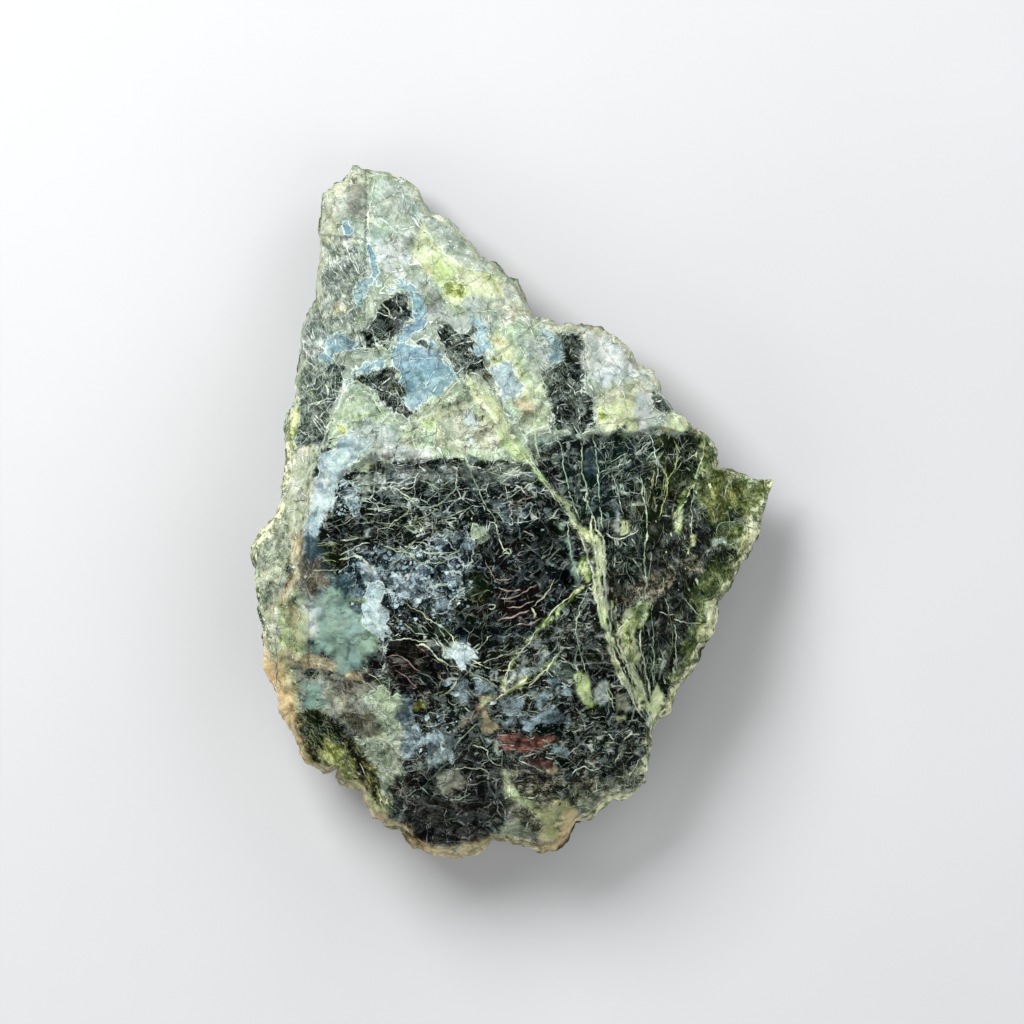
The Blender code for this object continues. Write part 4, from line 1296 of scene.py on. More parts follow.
def paint(points, drop):
    """The skin of every point: dark and light colour, lightness and contrast, fibre, web, fleck and
    roughness, and how near a seam it is. The outlines are bent by noise of two sizes. A painted glow lies
    round the thin rim."""
    places = points[:, :2] + pushed(at_level(points[:, :2]), *OUTLINE_BEND)
    ragged = uneven(points, PAINT_EDGE)
    cover, seam = paint_places(np.tile(SKINS["foot_web"], (len(points), 1)), places, ragged)
    cover = paint_veins(cover, places, ragged)
    # Painted glow: the thin rim lets light through, so a pale line is painted all round it, peach towards
    # the lower left, orange in places and cream towards the top.
    x, y = places.T
    warm = ease((PEACH_BELOW[0] - y) / PEACH_BELOW[1]) * ease((PEACH_LEFT_OF[0] - x) / PEACH_LEFT_OF[1])
    pale = overlaid(SKINS["wing_rim"], SKINS["peach"], warm)
    for middle, reach in ORANGE_GLOWS:
        near = ease(1.5 - np.linalg.norm(places - np.array(middle), axis=1) / reach)
        pale = overlaid(pale, SKINS["orange"], near)
    pale = overlaid(pale, SKINS["cream_rim"], ease((y - WHITE_ABOVE[0]) / WHITE_ABOVE[1]))
    from_rim = depth_inside(points[:, :2], RIM)
    rim_glow = ease((RIM_GLOW_WIDTH + RIM_RAGGED * ragged - from_rim) / RIM_EDGE)
    cover = overlaid(cover, pale, rim_glow * RIM_COVER)
    # Wall and underside.
    streak = uneven(points * (1, 1, 0.35), STREAK) + uneven(points, SHORT_STREAK)
    deep = overlaid(SKINS["under"], SKINS["wing_olive"], ease(streak * 1.6))
    deep = overlaid(deep, SKINS["peach"], warm * 0.6 + 0.2 * ease(-streak * 2))
    cover = overlaid(cover, deep, ease((drop - WALL_FROM) * 5) * WALL_COVER)
    # Colour drifts between warm, green and cool from place to place.
    warmer = uneven(points, WARMER)
    greener = uneven(points, GREENER)
    drift = warmer[:, None] * DRIFT_WARM + greener[:, None] * DRIFT_GREEN
    cover[:, 0:3] = cover[:, 0:3] * (1 + DARK_DRIFT * drift) + LEAST_DRIFT * drift
    cover[:, 3:6] = cover[:, 3:6] * (1 + LIGHT_DRIFT * drift)
    cover[:, :6] = cover[:, :6].clip(0, 1)
    cover[:, 12] = seam
    return cover


def put_attribute(mesh, name, kind, *columns):
    """Stores one value for each point of a mesh, from the columns of it."""
    layer = mesh.attributes.new(name, kind, "POINT")
    field = "color" if kind == "FLOAT_COLOR" else "vector"
    layer.data.foreach_set(field, np.column_stack(columns).astype(np.float32).ravel())


def placed(name, data):
    """An object of this name, put in the scene."""
    thing = bpy.data.objects.new(name, data)
    bpy.context.scene.collection.objects.link(thing)
    return thing


def make_piece(name, points, faces, sheet, cover, drop, smooth=True):
    """A painted piece of the stone at the origin, from points in mm, faces, texture places and paint."""
    mesh = bpy.data.meshes.new(name)
    mesh.from_pydata(((points - stone_shift) * MM).tolist(), [], faces)
    mesh.polygons.foreach_set("use_smooth", np.full(len(mesh.polygons), smooth))
    layer = mesh.uv_layers.new(name="OFBake")
    layer.data.foreach_set("uv", np.ascontiguousarray(sheet, np.float32).ravel())
    one = np.ones(len(points))
    grain = grain_at(points[:, :2])[:, :2]
    put_attribute(mesh, "dark_tone", "FLOAT_COLOR", cover[:, 0:3], one)
    put_attribute(mesh, "light_tone", "FLOAT_COLOR", cover[:, 3:6], one)
    put_attribute(mesh, "light", "FLOAT_VECTOR", cover[:, 6:8], drop)
    put_attribute(mesh, "weave", "FLOAT_VECTOR", cover[:, 8:11])
    put_attribute(mesh, "rough", "FLOAT_VECTOR", cover[:, 11:13], drop)
    put_attribute(mesh, "grain", "FLOAT_VECTOR", grain, points[:, 2] * 0.5)
    mesh.materials.append(SKIN)
    piece = placed(name, mesh)
    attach(piece, "root")
    return piece


class FaceSheet:
    """Heights of the finished face at even spaces, for what is laid on the face."""

    def __init__(self, space):
        self.space = space
        columns, rows = (BOX_SIZE / space).astype(int) + 2
        x, y = np.meshgrid(np.arange(columns), np.arange(rows))
        places = BOX_LOW + np.stack([x.ravel(), y.ravel()], axis=1) * space
        height = np.maximum(face_height(places), underside_height(places) + LEAST_THICK)
        self.heights = height.reshape(rows, columns)

    def at(self, places):
        """The height at each place, evenly blended between the four nearest."""
        scaled = (places - BOX_LOW) / self.space
        x, y = (np.clip(scaled[..., axis], 0, self.heights.shape[1 - axis] - 1.001) for axis in (0, 1))
        column, row = x.astype(int), y.astype(int)
        part_x, part_y = x - column, y - row
        near = self.heights[row, column] * (1 - part_x) + self.heights[row, column + 1] * part_x
        far = self.heights[row + 1, column] * (1 - part_x) + self.heights[row + 1, column + 1] * part_x
        return near * (1 - part_y) + far * part_y


def cells_of_sheet(count):
    """Low corners and sizes of a square of texture cells, one for each of many small things."""
    across = int(math.ceil(math.sqrt(count)))
    number = np.arange(count)
    return np.stack([number % across, number // across], axis=1) / across, 1 / across


def ridges(paths, half_widths, heights, face):
    """Thin ridges along many paths at once. At each station the section is a triangle: two feet sunk
    in the face and a crest standing out of it; both ends are closed."""
    count, stations, _ = paths.shape
    run = np.gradient(paths, axis=1)
    run /= np.maximum(np.linalg.norm(run, axis=2, keepdims=True), 1e-9)
    side = np.stack([-run[..., 1], run[..., 0]], axis=-1) * half_widths[..., None]
    rings = []
    for offset, lift in ((side, -HAIR_SINK), (side * 0, heights), (-side, -HAIR_SINK)):
        foot = paths + offset
        rings.append(np.concatenate([foot, (face.at(foot) + lift)[..., None]], axis=-1))
    points = np.stack(rings, axis=2)
    number = np.arange(count * stations * 3).reshape(count, stations, 3)
    faces = []
    sheet = []
    low, size = cells_of_sheet(count)
    step = 1 / (stations - 1)
    along = np.arange(stations - 1) / (stations - 1)
    place_x = np.stack([along, along, along + step, along + step], axis=-1)
    for corner in range(3):
        beside = (corner + 1) % 3
        quad = np.stack([number[:, :-1, corner], number[:, :-1, beside], number[:, 1:, beside],
                         number[:, 1:, corner]], axis=-1)
        faces.append(quad.reshape(-1, 4))
        place_y = np.array([corner, corner + 1, corner + 1, corner]) / 3 + np.zeros((stations - 1, 4))
        places = 0.08 + 0.84 * np.stack([place_x, place_y], axis=-1)
        sheet.append((low[:, None, None] + places[None] * size).reshape(-1, 2))
    ends = np.concatenate([number[:, 0, ::-1], number[:, -1]])
    corner_place = np.array([[0.01, 0.01], [0.05, 0.01], [0.01, 0.05]])
    end_sheet = np.concatenate([low, low])[:, None] + corner_place[None] * size
    faces = np.concatenate(faces).tolist() + ends.tolist()
    return points.reshape(-1, 3), faces, np.concatenate(sheet + [end_sheet.reshape(-1, 2)])


def scattered(chance, outline, count, margin=0.8):
    """Random places inside an outline and inside the rim."""
    outline = on_sheet(corners(outline))
    low, high = np.min(outline, axis=0), np.max(outline, axis=0)
    places = low + chance.random((count * 6, 2)) * (high - low)
    inside = (depth_inside(places, outline) > 0) & (depth_inside(places, RIM) > margin)
    return places[inside][:count]


def picked(chance, finishes, count):
    """The skin of one of these finishes for each of so many things, by chance."""
    finishes = finishes.split()
    return np.array([SKINS[finish] for finish in finishes])[chance.integers(len(finishes), size=count)]


def taper(part, power, least):
    """How full a vein is from end to end: the root of 1 less a power of the part of the way out."""
    return np.sqrt(np.maximum(1 - part ** power, least))


def heading_of(places, heading):
    """The heading in radians at each place: one heading, or away from a place in ticks."""
    if isinstance(heading, tuple):
        away = places - np.array(on_sheet([heading])[0])
        return np.arctan2(away[:, 1], away[:, 0])
    return np.full(len(places), math.radians(heading))


def hair_paths(chance, middle, turn, length, kink):
    """A short path through each place: it turns evenly as it goes, with a kink at every station."""
    count = len(middle)
    part = np.linspace(-0.5, 0.5, HAIR_STATIONS)
    bend = chance.normal(0, HAIR_BEND, count) * np.minimum(length / 3, 1)
    course = turn[:, None] + bend[:, None] * part + chance.normal(0, kink, (count, HAIR_STATIONS))
    step = (length / HAIR_STATIONS)[:, None, None] * np.stack([np.cos(course), np.sin(course)], axis=-1)
    path = np.cumsum(step, axis=1)
    return path + (middle - path.mean(axis=1))[:, None]


def make_hairs(name, fields, face, seed):
    """Hair veins: from each random place a short kinked path, and forks that leave it on one side. They
    crowd together where a soft noise is high."""
    chance = np.random.default_rng(seed)
    paths, half_widths, heights, covers = [], [], [], []
    for outline, count, heading, scatter, shortest, longest, finishes in fields:
        middle = scattered(chance, outline, count)
        crowd = uneven(at_level(middle, seed * CROWD_APART), CROWD)
        middle = middle[crowd > chance.random(len(middle)) * 1.1 - 0.55]
        count = len(middle)
        turn = heading_of(middle, heading) + np.radians(scatter) * chance.standard_normal(count)
        length = shortest + (longest - shortest) * chance.random(count) ** 2
        trunk = hair_paths(chance, middle, turn, length, HAIR_KINK)
        broad = HAIR_HALF_WIDTH * (0.55 + 0.9 * chance.random(count) ** 3)
        chosen = picked(chance, finishes, count)
        chosen[:, :6] *= (HAIR_DARKEST + HAIR_SPREAD * chance.random(count))[:, None].clip(HAIR_DARKEST, 1)
        forked = np.flatnonzero(length > FORK_FROM)
        forked = np.concatenate([forked, forked[chance.random(len(forked)) < FORK_TWICE]])
        joint = trunk[forked, chance.integers(1, HAIR_STATIONS - 1, size=len(forked))]
        fork_side = chance.choice([-1, 1], len(forked))
        fork_turn = turn[forked] + fork_side * chance.uniform(*FORK_TURN, len(forked))
        fork_length = length[forked] * chance.uniform(*FORK_LENGTH, len(forked))
        away = np.stack([np.cos(fork_turn), np.sin(fork_turn)], axis=1) * fork_length[:, None] / 2
        fork = hair_paths(chance, joint + away, fork_turn, fork_length, FORK_KINK)
        path = np.concatenate([trunk, fork])
        broad = np.concatenate([broad, broad[forked] * FORK_WIDTH])
        chosen = np.concatenate([chosen, chosen[forked]])
        depth = depth_inside(path.reshape(-1, 2), RIM).reshape(len(path), HAIR_STATIONS).min(axis=1)
        path, broad, chosen = (part[depth > HAIR_INSIDE] for part in (path, broad, chosen))
        full = taper(np.linspace(-1, 1, HAIR_STATIONS), 2, 0.08)
        paths.append(path)
        half_widths.append(broad[:, None] * full)
        heights.append(HAIR_HEIGHT * (0.5 + chance.random(len(path)))[:, None] * full)
        covers.append(np.repeat(chosen, HAIR_STATIONS * 3, axis=0))
    points, faces, sheet = ridges(np.concatenate(paths), np.concatenate(half_widths),
                                  np.concatenate(heights), face)
    return make_piece(name, points, faces, sheet, np.concatenate(covers), np.zeros(len(points)))


def smooth_path(line, seed):
    """Stations at even lengths along a drawn line, rounded at its corners and made to waver, in the
    runs of it that lie inside the rim."""
    line = np.array(on_sheet(line))
    length = lengths_along(line)[-1]
    path = places_along(line, np.linspace(0, length, max(int(length / LINE_STEP), 4)))
    for _ in range(3):
        path[1:-1] = path[1:-1] / 2 + (path[:-2] + path[2:]) / 4
    path = path + pushed(at_level(path, seed * LINE_APART), *LINE_WAVER)
    inside = depth_inside(path, RIM) > LINE_INSIDE
    breaks = np.flatnonzero(inside[1:] != inside[:-1]) + 1
    runs = zip(np.split(path, breaks), np.split(inside, breaks))
    return [run for run, kept in runs if kept[0] and len(run) > 3]


def make_drawn_veins(name, lines, face):
    """The veins that can be told apart, each along its own drawn line, as broken ridges."""
    points, faces, sheet, covers = [], [], [], []
    count = 0
    runs = [(finish, half_width, path)
            for number, (finish, (half_width,), line) in enumerate(read_rows(lines))
            for path in smooth_path(line, number)]
    low, size = cells_of_sheet(len(runs))
    for number, (finish, half_width, path) in enumerate(runs):
        flat = at_level(path, LINE_LEVEL)
        full = taper(np.linspace(-1, 1, len(path)), 6, 0.04)
        full = full * np.clip(1 + uneven(flat, [LINE_UNEVEN]), 0.3, 1.6)
        new_points, new_faces, new_sheet = ridges(path[None], (half_width * full)[None],
                                                  (half_width * 0.5 * full + LINE_FOOT)[None], face)
        points.append(new_points)
        faces += [[corner + count for corner in each] for each in new_faces]
        sheet.append(low[number] + new_sheet * size)
        cover = np.tile(SKINS[finish], (len(new_points), 1))
        cover[:, :6] *= np.repeat(0.95 + uneven(flat, [LINE_TINT]), 3)[:, None].clip(0.5, 1.1)
        covers.append(cover)
        count += len(new_points)
    points = np.concatenate(points)
    return make_piece(name, points, faces, np.concatenate(sheet), np.concatenate(covers), np.zeros(count))


def make_flakes(name, fields, face, seed):
    """Plates split off the face: each a thin polygon with uneven corners, tilted a little off the face
    and sunk at its foot. Plates with no finish of their own take the paint under them, made lighter or
    darker by chance."""
    chance = np.random.default_rng(seed)
    turn = np.arange(FLAKE_CORNERS) / FLAKE_CORNERS * 2 * math.pi
    points, covers = [], []
    for outline, count, heading, stretch, smallest, largest, tilt, lift, finishes in fields:
        middle = scattered(chance, outline, count, 0.2 + largest)
        count = len(middle)
        size = smallest + (largest - smallest) * chance.random(count) ** 2.5
        reach = size[:, None] * (0.65 + 0.7 * chance.random((count, FLAKE_CORNERS)))
        corner = turn + chance.normal(0, FLAKE_JITTER, (count, FLAKE_CORNERS))
        along = reach * np.cos(corner) * stretch
        across = reach * np.sin(corner)
        course = heading_of(middle, heading) + chance.normal(0, FLAKE_SCATTER, count)
        cos, sin = np.cos(course)[:, None], np.sin(course)[:, None]
        offset = np.stack([along * cos - across * sin, along * sin + across * cos], axis=-1)
        level = face.at(middle[:, None] + offset * 0.8)
        slopes = chance.normal(0, tilt, (count, 1, 2))
        top = level.mean(axis=1, keepdims=True) * (1 - FLAKE_LEVEL) + level * FLAKE_LEVEL
        top = top + np.sum(offset * slopes, axis=-1) + lift
        foot = middle[:, None] + offset * FLAKE_FOOT
        bottom = np.minimum(face.at(foot) - FLAKE_SINK, top - FLAKE_THICK)
        upper = np.concatenate([middle[:, None] + offset, top[..., None]], axis=-1)
        lower = np.concatenate([foot, bottom[..., None]], axis=-1)
        points.append(np.concatenate([upper, lower], axis=1))
        if finishes:
            chosen = np.repeat(picked(chance, finishes, count), FLAKE_CORNERS * 2, axis=0)
        else:
            edges = points[-1].reshape(-1, 3)
            chosen = paint(edges, np.zeros(len(edges)))
        change = np.clip(chance.normal(1.0, FLAKE_CHANGE, count), 0.5, 1.5)
        chosen[:, :6] = np.clip(chosen[:, :6] * np.repeat(change, FLAKE_CORNERS * 2)[:, None], 0, 0.95)
        covers.append(chosen)
    points = np.concatenate(points)
    count = len(points)
    number = np.arange(count * FLAKE_CORNERS * 2).reshape(count, 2, FLAKE_CORNERS)
    upper, lower = number[:, 0], number[:, 1]
    sides = np.stack([lower, np.roll(lower, -1, axis=1), np.roll(upper, -1, axis=1), upper], axis=-1)
    faces = upper.tolist() + lower[:, ::-1].tolist() + sides.reshape(-1, 4).tolist()
    low, size = cells_of_sheet(count)
    circle = np.stack([np.cos(turn), np.sin(turn)], axis=1)
    inner, outer = 0.5 + 0.30 * circle, 0.5 + 0.46 * circle
    hidden = 0.04 + 0.03 * circle
    wall = np.stack([outer, np.roll(outer, -1, axis=0), np.roll(inner, -1, axis=0), inner], axis=1)
    sheet = [(low[:, None] + places.reshape(-1, 2)[None] * size).reshape(-1, 2)
             for places in (inner, hidden[::-1], wall)]
    points = points.reshape(-1, 3)
    return make_piece(name, points, faces, np.concatenate(sheet), np.concatenate(covers),
                      np.zeros(len(points)), smooth=False)


# ---- Shader arithmetic ----

class Value:
    """A shader socket that can be added, multiplied and compared as a number."""

    def __init__(self, board, socket):
        self.board = board
        self.socket = socket

    def _math(self, operation, *values):
        return self.board.node("ShaderNodeMath", {"operation": operation}, dict(enumerate(values)))

    def __add__(self, other):
        return self._math("ADD", self, other)

    def __sub__(self, other):
        return self._math("SUBTRACT", self, other)

    def __rsub__(self, other):
        return self._math("SUBTRACT", other, self)

    def __mul__(self, other):
        return self._math("MULTIPLY", self, other)

    def __pow__(self, other):
        return self._math("POWER", self, other)

    __radd__ = __add__
    __rmul__ = __mul__

    def size(self):
        """Its distance from nought."""
        return self._math("ABSOLUTE", self)

    def most(self, other):
        return self._math("MAXIMUM", self, other)

    def held(self):
        """Held between 0 and 1."""
        return self.board.node("ShaderNodeClamp", {}, {"Value": self})

    def rise(self, low, high):
        """0 below low, 1 above high, an even curve between."""
        return self.board.node("ShaderNodeMapRange", {"interpolation_type": "SMOOTHSTEP"},
                               {"Value": self, "From Min": low, "From Max": high})

    def fall(self, low, high):
        """1 below low, 0 above high."""
        return 1 - self.rise(low, high)


class Board:
    """The nodes of one material."""

    def __init__(self, name):
        self.material = bpy.data.materials.new(name)
        self.material.use_nodes = True
        self.tree = self.material.node_tree
        self.tree.nodes.clear()

    def node(self, kind, settings=None, inputs=None, output=0):
        """Adds a node: its settings first, then its sockets, from numbers or from other nodes."""
        node = self.tree.nodes.new(kind)
        for name, value in (settings or {}).items():
            setattr(node, name, value)
        for name, value in (inputs or {}).items():
            if isinstance(value, Value):
                self.tree.links.new(value.socket, node.inputs[name])
            else:
                node.inputs[name].default_value = value
        return Value(self, node.outputs[output])

    def attribute(self, name, output="Vector"):
        return self.node("ShaderNodeAttribute", {"attribute_name": name}, output=output)

    def split(self, vector):
        """The three numbers of a vector."""
        first = self.node("ShaderNodeSeparateXYZ", {}, {0: vector})
        node = first.socket.node
        return [Value(self, node.outputs[axis]) for axis in range(3)]

    def scaled(self, vector, factors):
        return self.node("ShaderNodeVectorMath", {"operation": "MULTIPLY"}, {0: vector, 1: factors})

    def moved(self, vector, offset, factors=None):
        """A vector with an offset added to it, or with the offset times three factors."""
        if factors:
            offset = self.scaled(offset, factors)
        return self.node("ShaderNodeVectorMath", {"operation": "ADD"}, {0: vector, 1: offset})

    def drift(self, vector, noise):
        """A push by noise, up to about a half each way."""
        return self.moved(self.noise(vector, *noise, "Color"), (-0.5, -0.5, -0.5))

    def noise(self, vector, size, detail, rough, output=0):
        """Noise with lumps about `size` mm across."""
        return self.node("ShaderNodeTexNoise", {"noise_dimensions": "3D"},
                         {"Vector": vector, "Scale": 1 / size, "Detail": detail, "Roughness": rough}, output)

    def cracks(self, vector, size):
        """Distance to the walls between cells about `size` mm across, as a part of that size."""
        return self.node("ShaderNodeTexVoronoi", {"feature": "DISTANCE_TO_EDGE"},
                         {"Vector": vector, "Scale": 1 / size, "Randomness": 1.0})

    def cells(self, vector, size):
        """One even number from 0 to 1 in each of those cells."""
        return self.split(self.node("ShaderNodeTexVoronoi", {"feature": "F1"},
                                    {"Vector": vector, "Scale": 1 / size, "Randomness": 1.0}, 1))[0]

    def finish(self, shader):
        """Joins the shader to the material's output."""
        end = self.tree.nodes.new("ShaderNodeOutputMaterial")
        self.tree.links.new(shader.socket, end.inputs["Surface"])

    def times(self, first, second):
        """Two colours multiplied."""
        return self.node("ShaderNodeMix", {"data_type": "RGBA", "blend_type": "MULTIPLY"},
                         {0: 1.0, 6: first, 7: second}, 2)

    def mix(self, part, first, second):
        """Colour between two, by part."""
        return self.node("ShaderNodeMix", {"data_type": "RGBA", "clamp_factor": True},
                         {0: part, 6: first, 7: second}, 2)


# Noises in the skin: size in mm, detail and roughness.
BEND = (2.2, 2, 0.6)
SWAY = (4.0, 1, 0.5)
SLOW = (6.0, 3, 0.5)
CLOUD = (2.2, 5, 0.58)
MOTTLE = (0.9, 4, 0.62)
GRIT = (0.24, 2, 0.6)
STRAND = (1, 3, 0.6)
GAPS = (3.4, 3, 0.5)
CURL = (2.6, 2, 0.5)
BRIGHT = (1.7, 2, 0.5)
# The haze of the painted blue sheen, and how far it is moved from the other noises.
SHEEN_HAZE = (1.8, 6, 0.66)
SHEEN_APART = (7, 3, 11)
STRAND_SIZE = (0.42, 4.5, 2.0)  # sizes across the grain, along it and upwards in mm
LONG_SIZE = (1.6, 6.5, 9)
NET_SIZE = 3.4
SMALL_NET_SIZE = 1.5
# How often the specks of painted glint repeat in each mm.
GLINTS_PER_MM = 2.4

# What each pattern adds to how light a point is.
SLOW_PART = 1.9
CLOUD_PART = 0.8
MOTTLE_PART = 0.45
PLATE_PART = 0.5
GRIT_PART = 2.0
FIBRE_PART = 0.5
# How much painted shade darkens the flanks beside the seams.
SEAM_SHADE_PART = 0.8

# Colours added to the painted ones: the white of the pale lines and painted glints, the cool and warm
# plates and the painted blue sheen; and the shine.
MARK_AND_GLINT_WHITE = (0.88, 0.97, 0.90, 1)
COOL_PLATE = (0.97, 1.0, 1.03, 1)
WARM_PLATE = (1.03, 1.0, 0.95, 1)
SHEEN_BLUE = (0.42, 0.56, 0.62, 1)
SHEEN_COVER = 0.32
BUMP_HEIGHT = 0.00045  # in metres
STONE_BEND_OF_LIGHT = 1.5
STONE_SHINE = 0.04


def one_over(sizes):
    """How often a pattern of these sizes repeats in each mm."""
    return tuple(1 / size for size in sizes)


def stone_finish():
    """The stone's skin. In words: mottle, plates of two sizes, grit and fibres along the grain add up to
    how light a point is, between the dark and light colour it was painted, and painted shade makes it
    darker beside the seams between plates. The seams themselves, in two nets and a long one on the
    grain, curled hairs, dots of painted glint and the edges of patches come to the light colour on top;
    the lines are pale veins and fibres and partly painted glints. A painted blue sheen lies like a haze
    on the flecked finishes. The same patterns make the relief."""
    board = Board("antigorite_skin")
    place = board.scaled(board.node("ShaderNodeTexCoord", {}, {}, "Object"), (1000, 1000, 1000))
    dark = board.attribute("dark_tone", "Color")
    light = board.attribute("light_tone", "Color")
    fibre, web, fleck = board.split(board.attribute("weave"))
    lightness, contrast, _ = board.split(board.attribute("light"))
    rough, seam, _ = board.split(board.attribute("rough"))
    grain = board.attribute("grain")

    bend = board.drift(place, BEND)
    sway = board.drift(place, SWAY)
    bent = board.moved(place, bend, (2.4, 2.4, 2.4))
    swayed = board.moved(board.moved(place, sway, (1.8, 1.8, 1.8)), bend, (0.6, 0.6, 0.6))
    swayed = board.scaled(swayed, (1, 1, 0.2))
    swayed_grain = board.moved(board.moved(grain, sway, (1.3, 1.3, 0.5)), bend, (0.5, 0.6, 0.2))

    # Soft patterns, and the gaps that break the sharp ones.
    slow = board.noise(bent, *SLOW)
    cloud = board.noise(bent, *CLOUD)
    mottle = board.noise(bent, *MOTTLE)
    grit = board.noise(place, *GRIT)
    gaps = board.noise(place, *GAPS)
    strand = board.noise(board.scaled(swayed_grain, one_over(STRAND_SIZE)), *STRAND)
    strands = ((strand - 0.5).size() * 8).fall(0.0, 1.0)
    bright = 0.4 + board.noise(bent, *BRIGHT).rise(0.42, 0.58) * 0.6
    large_plate = board.cells(swayed, NET_SIZE)
    plate = large_plate * 0.4 + board.cells(swayed, SMALL_NET_SIZE) * 0.6

    # Sharp patterns: the nets of seams, curled hairs, specks and the edges of patches. The lines are
    # pale veins and fibres and partly painted glints, and the specks are painted glints.
    net = board.cracks(swayed, NET_SIZE)
    small_net = board.cracks(swayed, SMALL_NET_SIZE)
    long_net = board.cracks(board.scaled(swayed_grain, one_over(LONG_SIZE)), 1)
    curls = ((board.noise(swayed, *CURL) - 0.5).size() * 45).fall(0.4, 1.0)
    glint_cells = board.node("ShaderNodeTexVoronoi", {"feature": "F1"}, {"Vector": place, "Scale": GLINTS_PER_MM})
    edge = (seam + (mottle - 0.5) * 0.5).size()
    net_lines = net.fall(0.014, 0.030) * mottle.rise(0.36, 0.48)
    small_net_lines = small_net.fall(0.024, 0.052) * cloud.rise(0.51, 0.57)
    long_lines = long_net.fall(0.018, 0.045) * gaps.rise(0.49, 0.55)
    glint_specks = glint_cells.fall(0.10, 0.24) * mottle.rise(0.48, 0.56)
    edge_lines = edge.fall(0.04, 0.17) * gaps.rise(0.32, 0.42)
    # Painted shade: a darker flank beside the seams.
    beside = net.fall(0.03, 0.10) * 0.3 + small_net.fall(0.06, 0.22) * 0.35
    lines = net_lines.most(small_net_lines * 0.9).most(curls * gaps.rise(0.44, 0.54) * 0.45)
    marks_and_glints = (lines * web * bright).most(long_lines * fibre * bright)
    marks_and_glints = marks_and_glints.most(glint_specks * fleck).most(edge_lines * 0.85)

    body = (slow - 0.5) * SLOW_PART + (cloud.rise(0.39, 0.61) - 0.5) * CLOUD_PART
    body = body + (mottle.rise(0.40, 0.60) - 0.5) * MOTTLE_PART + (plate - 0.5) * PLATE_PART
    body = body + (grit - 0.5) * GRIT_PART + fibre * (strands - 0.35) * FIBRE_PART
    tone = (lightness + (body - beside * SEAM_SHADE_PART) * contrast).held()
    ground = board.times(board.mix(tone ** 2.2, dark, light), board.mix(large_plate, COOL_PLATE, WARM_PLATE))
    # Painted sheen: a blue-grey haze on the flecked finishes, for plates that catch the light.
    blue_sheen = board.noise(board.moved(bent, SHEEN_APART), *SHEEN_HAZE).rise(0.53, 0.59) * fleck
    ground = board.mix(blue_sheen * SHEEN_COVER, ground, board.mix(0.5, light, SHEEN_BLUE))
    # The pale lines and painted glints are laid on top.
    colour = board.mix(marks_and_glints ** 1.9, ground, board.mix(0.5, light, MARK_AND_GLINT_WHITE))

    relief = cloud * 0.4 + mottle * 0.55 + strands * fibre * 0.3 + net_lines * web * 0.45 + grit * 0.25
    bump = board.node("ShaderNodeBump", {}, {"Strength": 1.0, "Distance": BUMP_HEIGHT, "Height": relief})
    gloss = rough + (mottle - 0.5) * 0.30 + marks_and_glints * 0.12
    board.finish(board.node("ShaderNodeBsdfPrincipled", {},
                            {"Base Color": colour, "Roughness": gloss, "Normal": bump,
                             "IOR": STONE_BEND_OF_LIGHT, "Specular IOR Level": STONE_SHINE}))
    return board.material


# ---- Studio ----

LENS = 400.0  # in mm, as the sensor is
SENSOR = 36.0
SHEET_SIZE = 1024  # ticks across the sheet
RIM_LEVEL = 10.0  # height of the rim in mm, where the sheet's scale is true
FLOOR_HALF = 1.5  # in metres, as the lamps' sizes and distance are
FLOOR_MOTTLE = (0.08, 4, 0.5)
FLOOR_DARK = (0.58, 0.59, 0.60, 1)
FLOOR_LIGHT = (0.66, 0.67, 0.68, 1)
LAMP_DISTANCE = 0.6
LAMPS = {  # azimuth and elevation in degrees, size, power in watts
    "key": (130, 48, 0.30, 3.9),
    "fill": (-40, 40, 0.50, 1.1),
    "back": (50, 36, 0.40, 1.25),
    "low": (215, 34, 0.40, 0.95),
}
SKY = 0.14


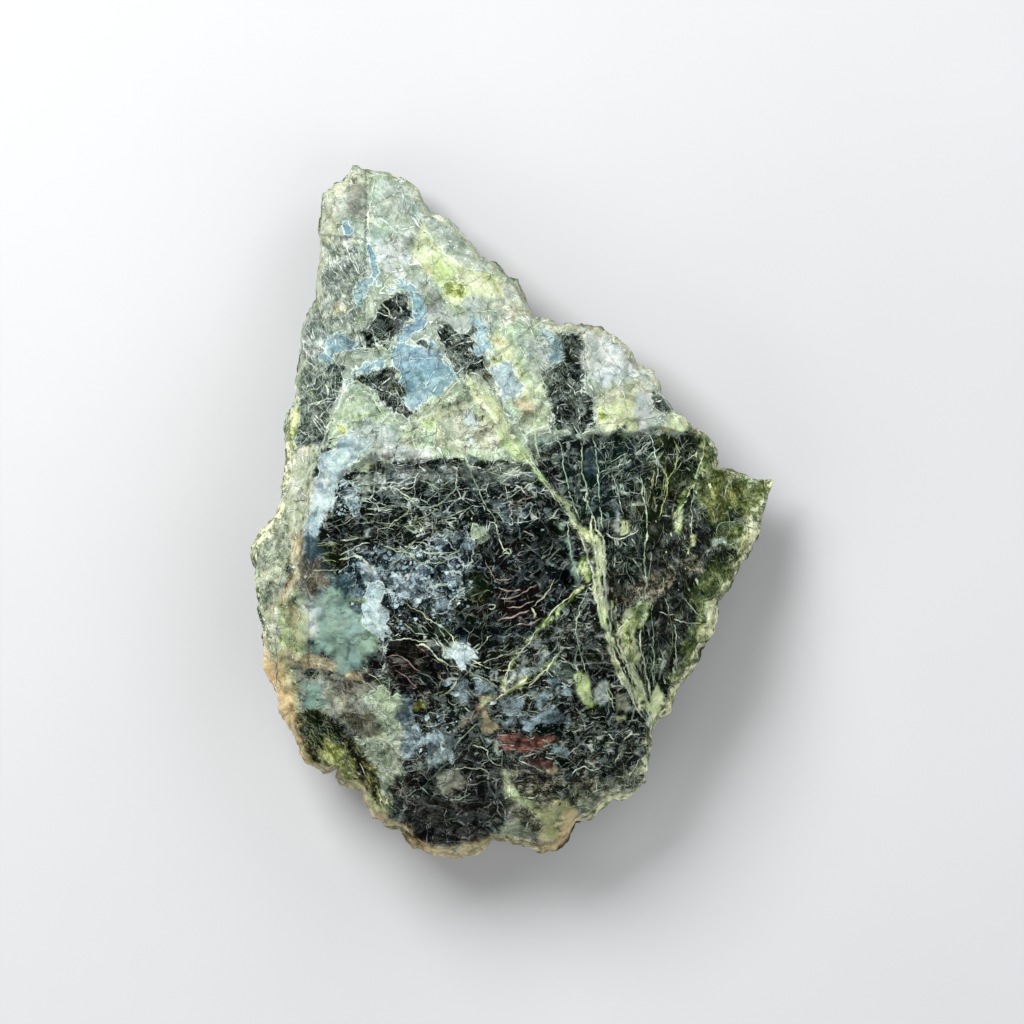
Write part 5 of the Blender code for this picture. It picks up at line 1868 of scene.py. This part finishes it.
def make_floor():
    """A plain pale floor."""
    mesh = bpy.data.meshes.new("floor")
    half = FLOOR_HALF
    places = [(-half, -half, 0), (half, -half, 0), (half, half, 0), (-half, half, 0)]
    mesh.from_pydata(places, [], [(0, 1, 2, 3)])
    board = Board("pale_floor")
    place = board.node("ShaderNodeTexCoord", {}, {}, "Object")
    colour = board.mix(board.noise(place, *FLOOR_MOTTLE), FLOOR_DARK, FLOOR_LIGHT)
    board.finish(board.node("ShaderNodeBsdfPrincipled", {}, {"Base Color": colour, "Roughness": 0.9}))
    mesh.materials.append(board.material)
    floor = placed("floor", mesh)


def make_lamp(name, azimuth, elevation, size, power):
    """A square soft lamp that points at the stone, from this azimuth and elevation in degrees."""
    lamp = bpy.data.lights.new(name, "AREA")
    lamp.shape = "SQUARE"
    lamp.size = size
    lamp.energy = power
    stand = placed(name, lamp)
    turn, lift = math.radians(azimuth), math.radians(elevation)
    ways = (math.cos(lift) * math.cos(turn), math.cos(lift) * math.sin(turn), math.sin(lift))
    stand.location = [LAMP_DISTANCE * way for way in ways]
    stand.rotation_euler = (math.pi / 2 - lift, 0, turn + math.pi / 2)


def make_studio():
    """Lamps, a dim even sky and the camera, which looks straight down on the broken face."""
    for name, settings in LAMPS.items():
        make_lamp(name, *settings)
    world = bpy.data.worlds.new("studio")
    world.use_nodes = True
    sky = world.node_tree.nodes["Background"]
    sky.inputs["Color"].default_value = (1, 1, 1, 1)
    sky.inputs["Strength"].default_value = SKY
    bpy.context.scene.world = world
    camera = bpy.data.cameras.new("camera")
    camera.lens = LENS
    camera.sensor_width = SENSOR
    stand = placed("camera", camera)
    stand.location = (0, 0, (RIM_LEVEL + TICK * SHEET_SIZE * LENS / SENSOR) * MM)
    bpy.context.scene.camera = stand
    bpy.context.scene.view_settings.view_transform = "Standard"


SKINS = read_finishes(FINISHES)
SKIN = stone_finish()
stone_shape = stone_grid()
lowest, highest = stone_shape[0].min(axis=0), stone_shape[0].max(axis=0)
stone_shift = np.array([(lowest[0] + highest[0]) / 2, (lowest[1] + highest[1]) / 2, lowest[2]])
points, drop, faces, sheet = stone_shape
stone = make_piece("antigorite_stone", points, faces, sheet, paint(points, drop), drop)
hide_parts("stone")
face = FaceSheet(FACE_SPACE)
make_drawn_veins("drawn_veins", LINES, face)
make_hairs("hair_veins", FACE_HAIRS, face, FACE_HAIR_SEED)
make_hairs("hair_veins_edge", EDGE_HAIRS, face, EDGE_HAIR_SEED)
make_flakes("loose_plates", FLAKES, face, FLAKE_SEED)
make_floor()
make_studio()
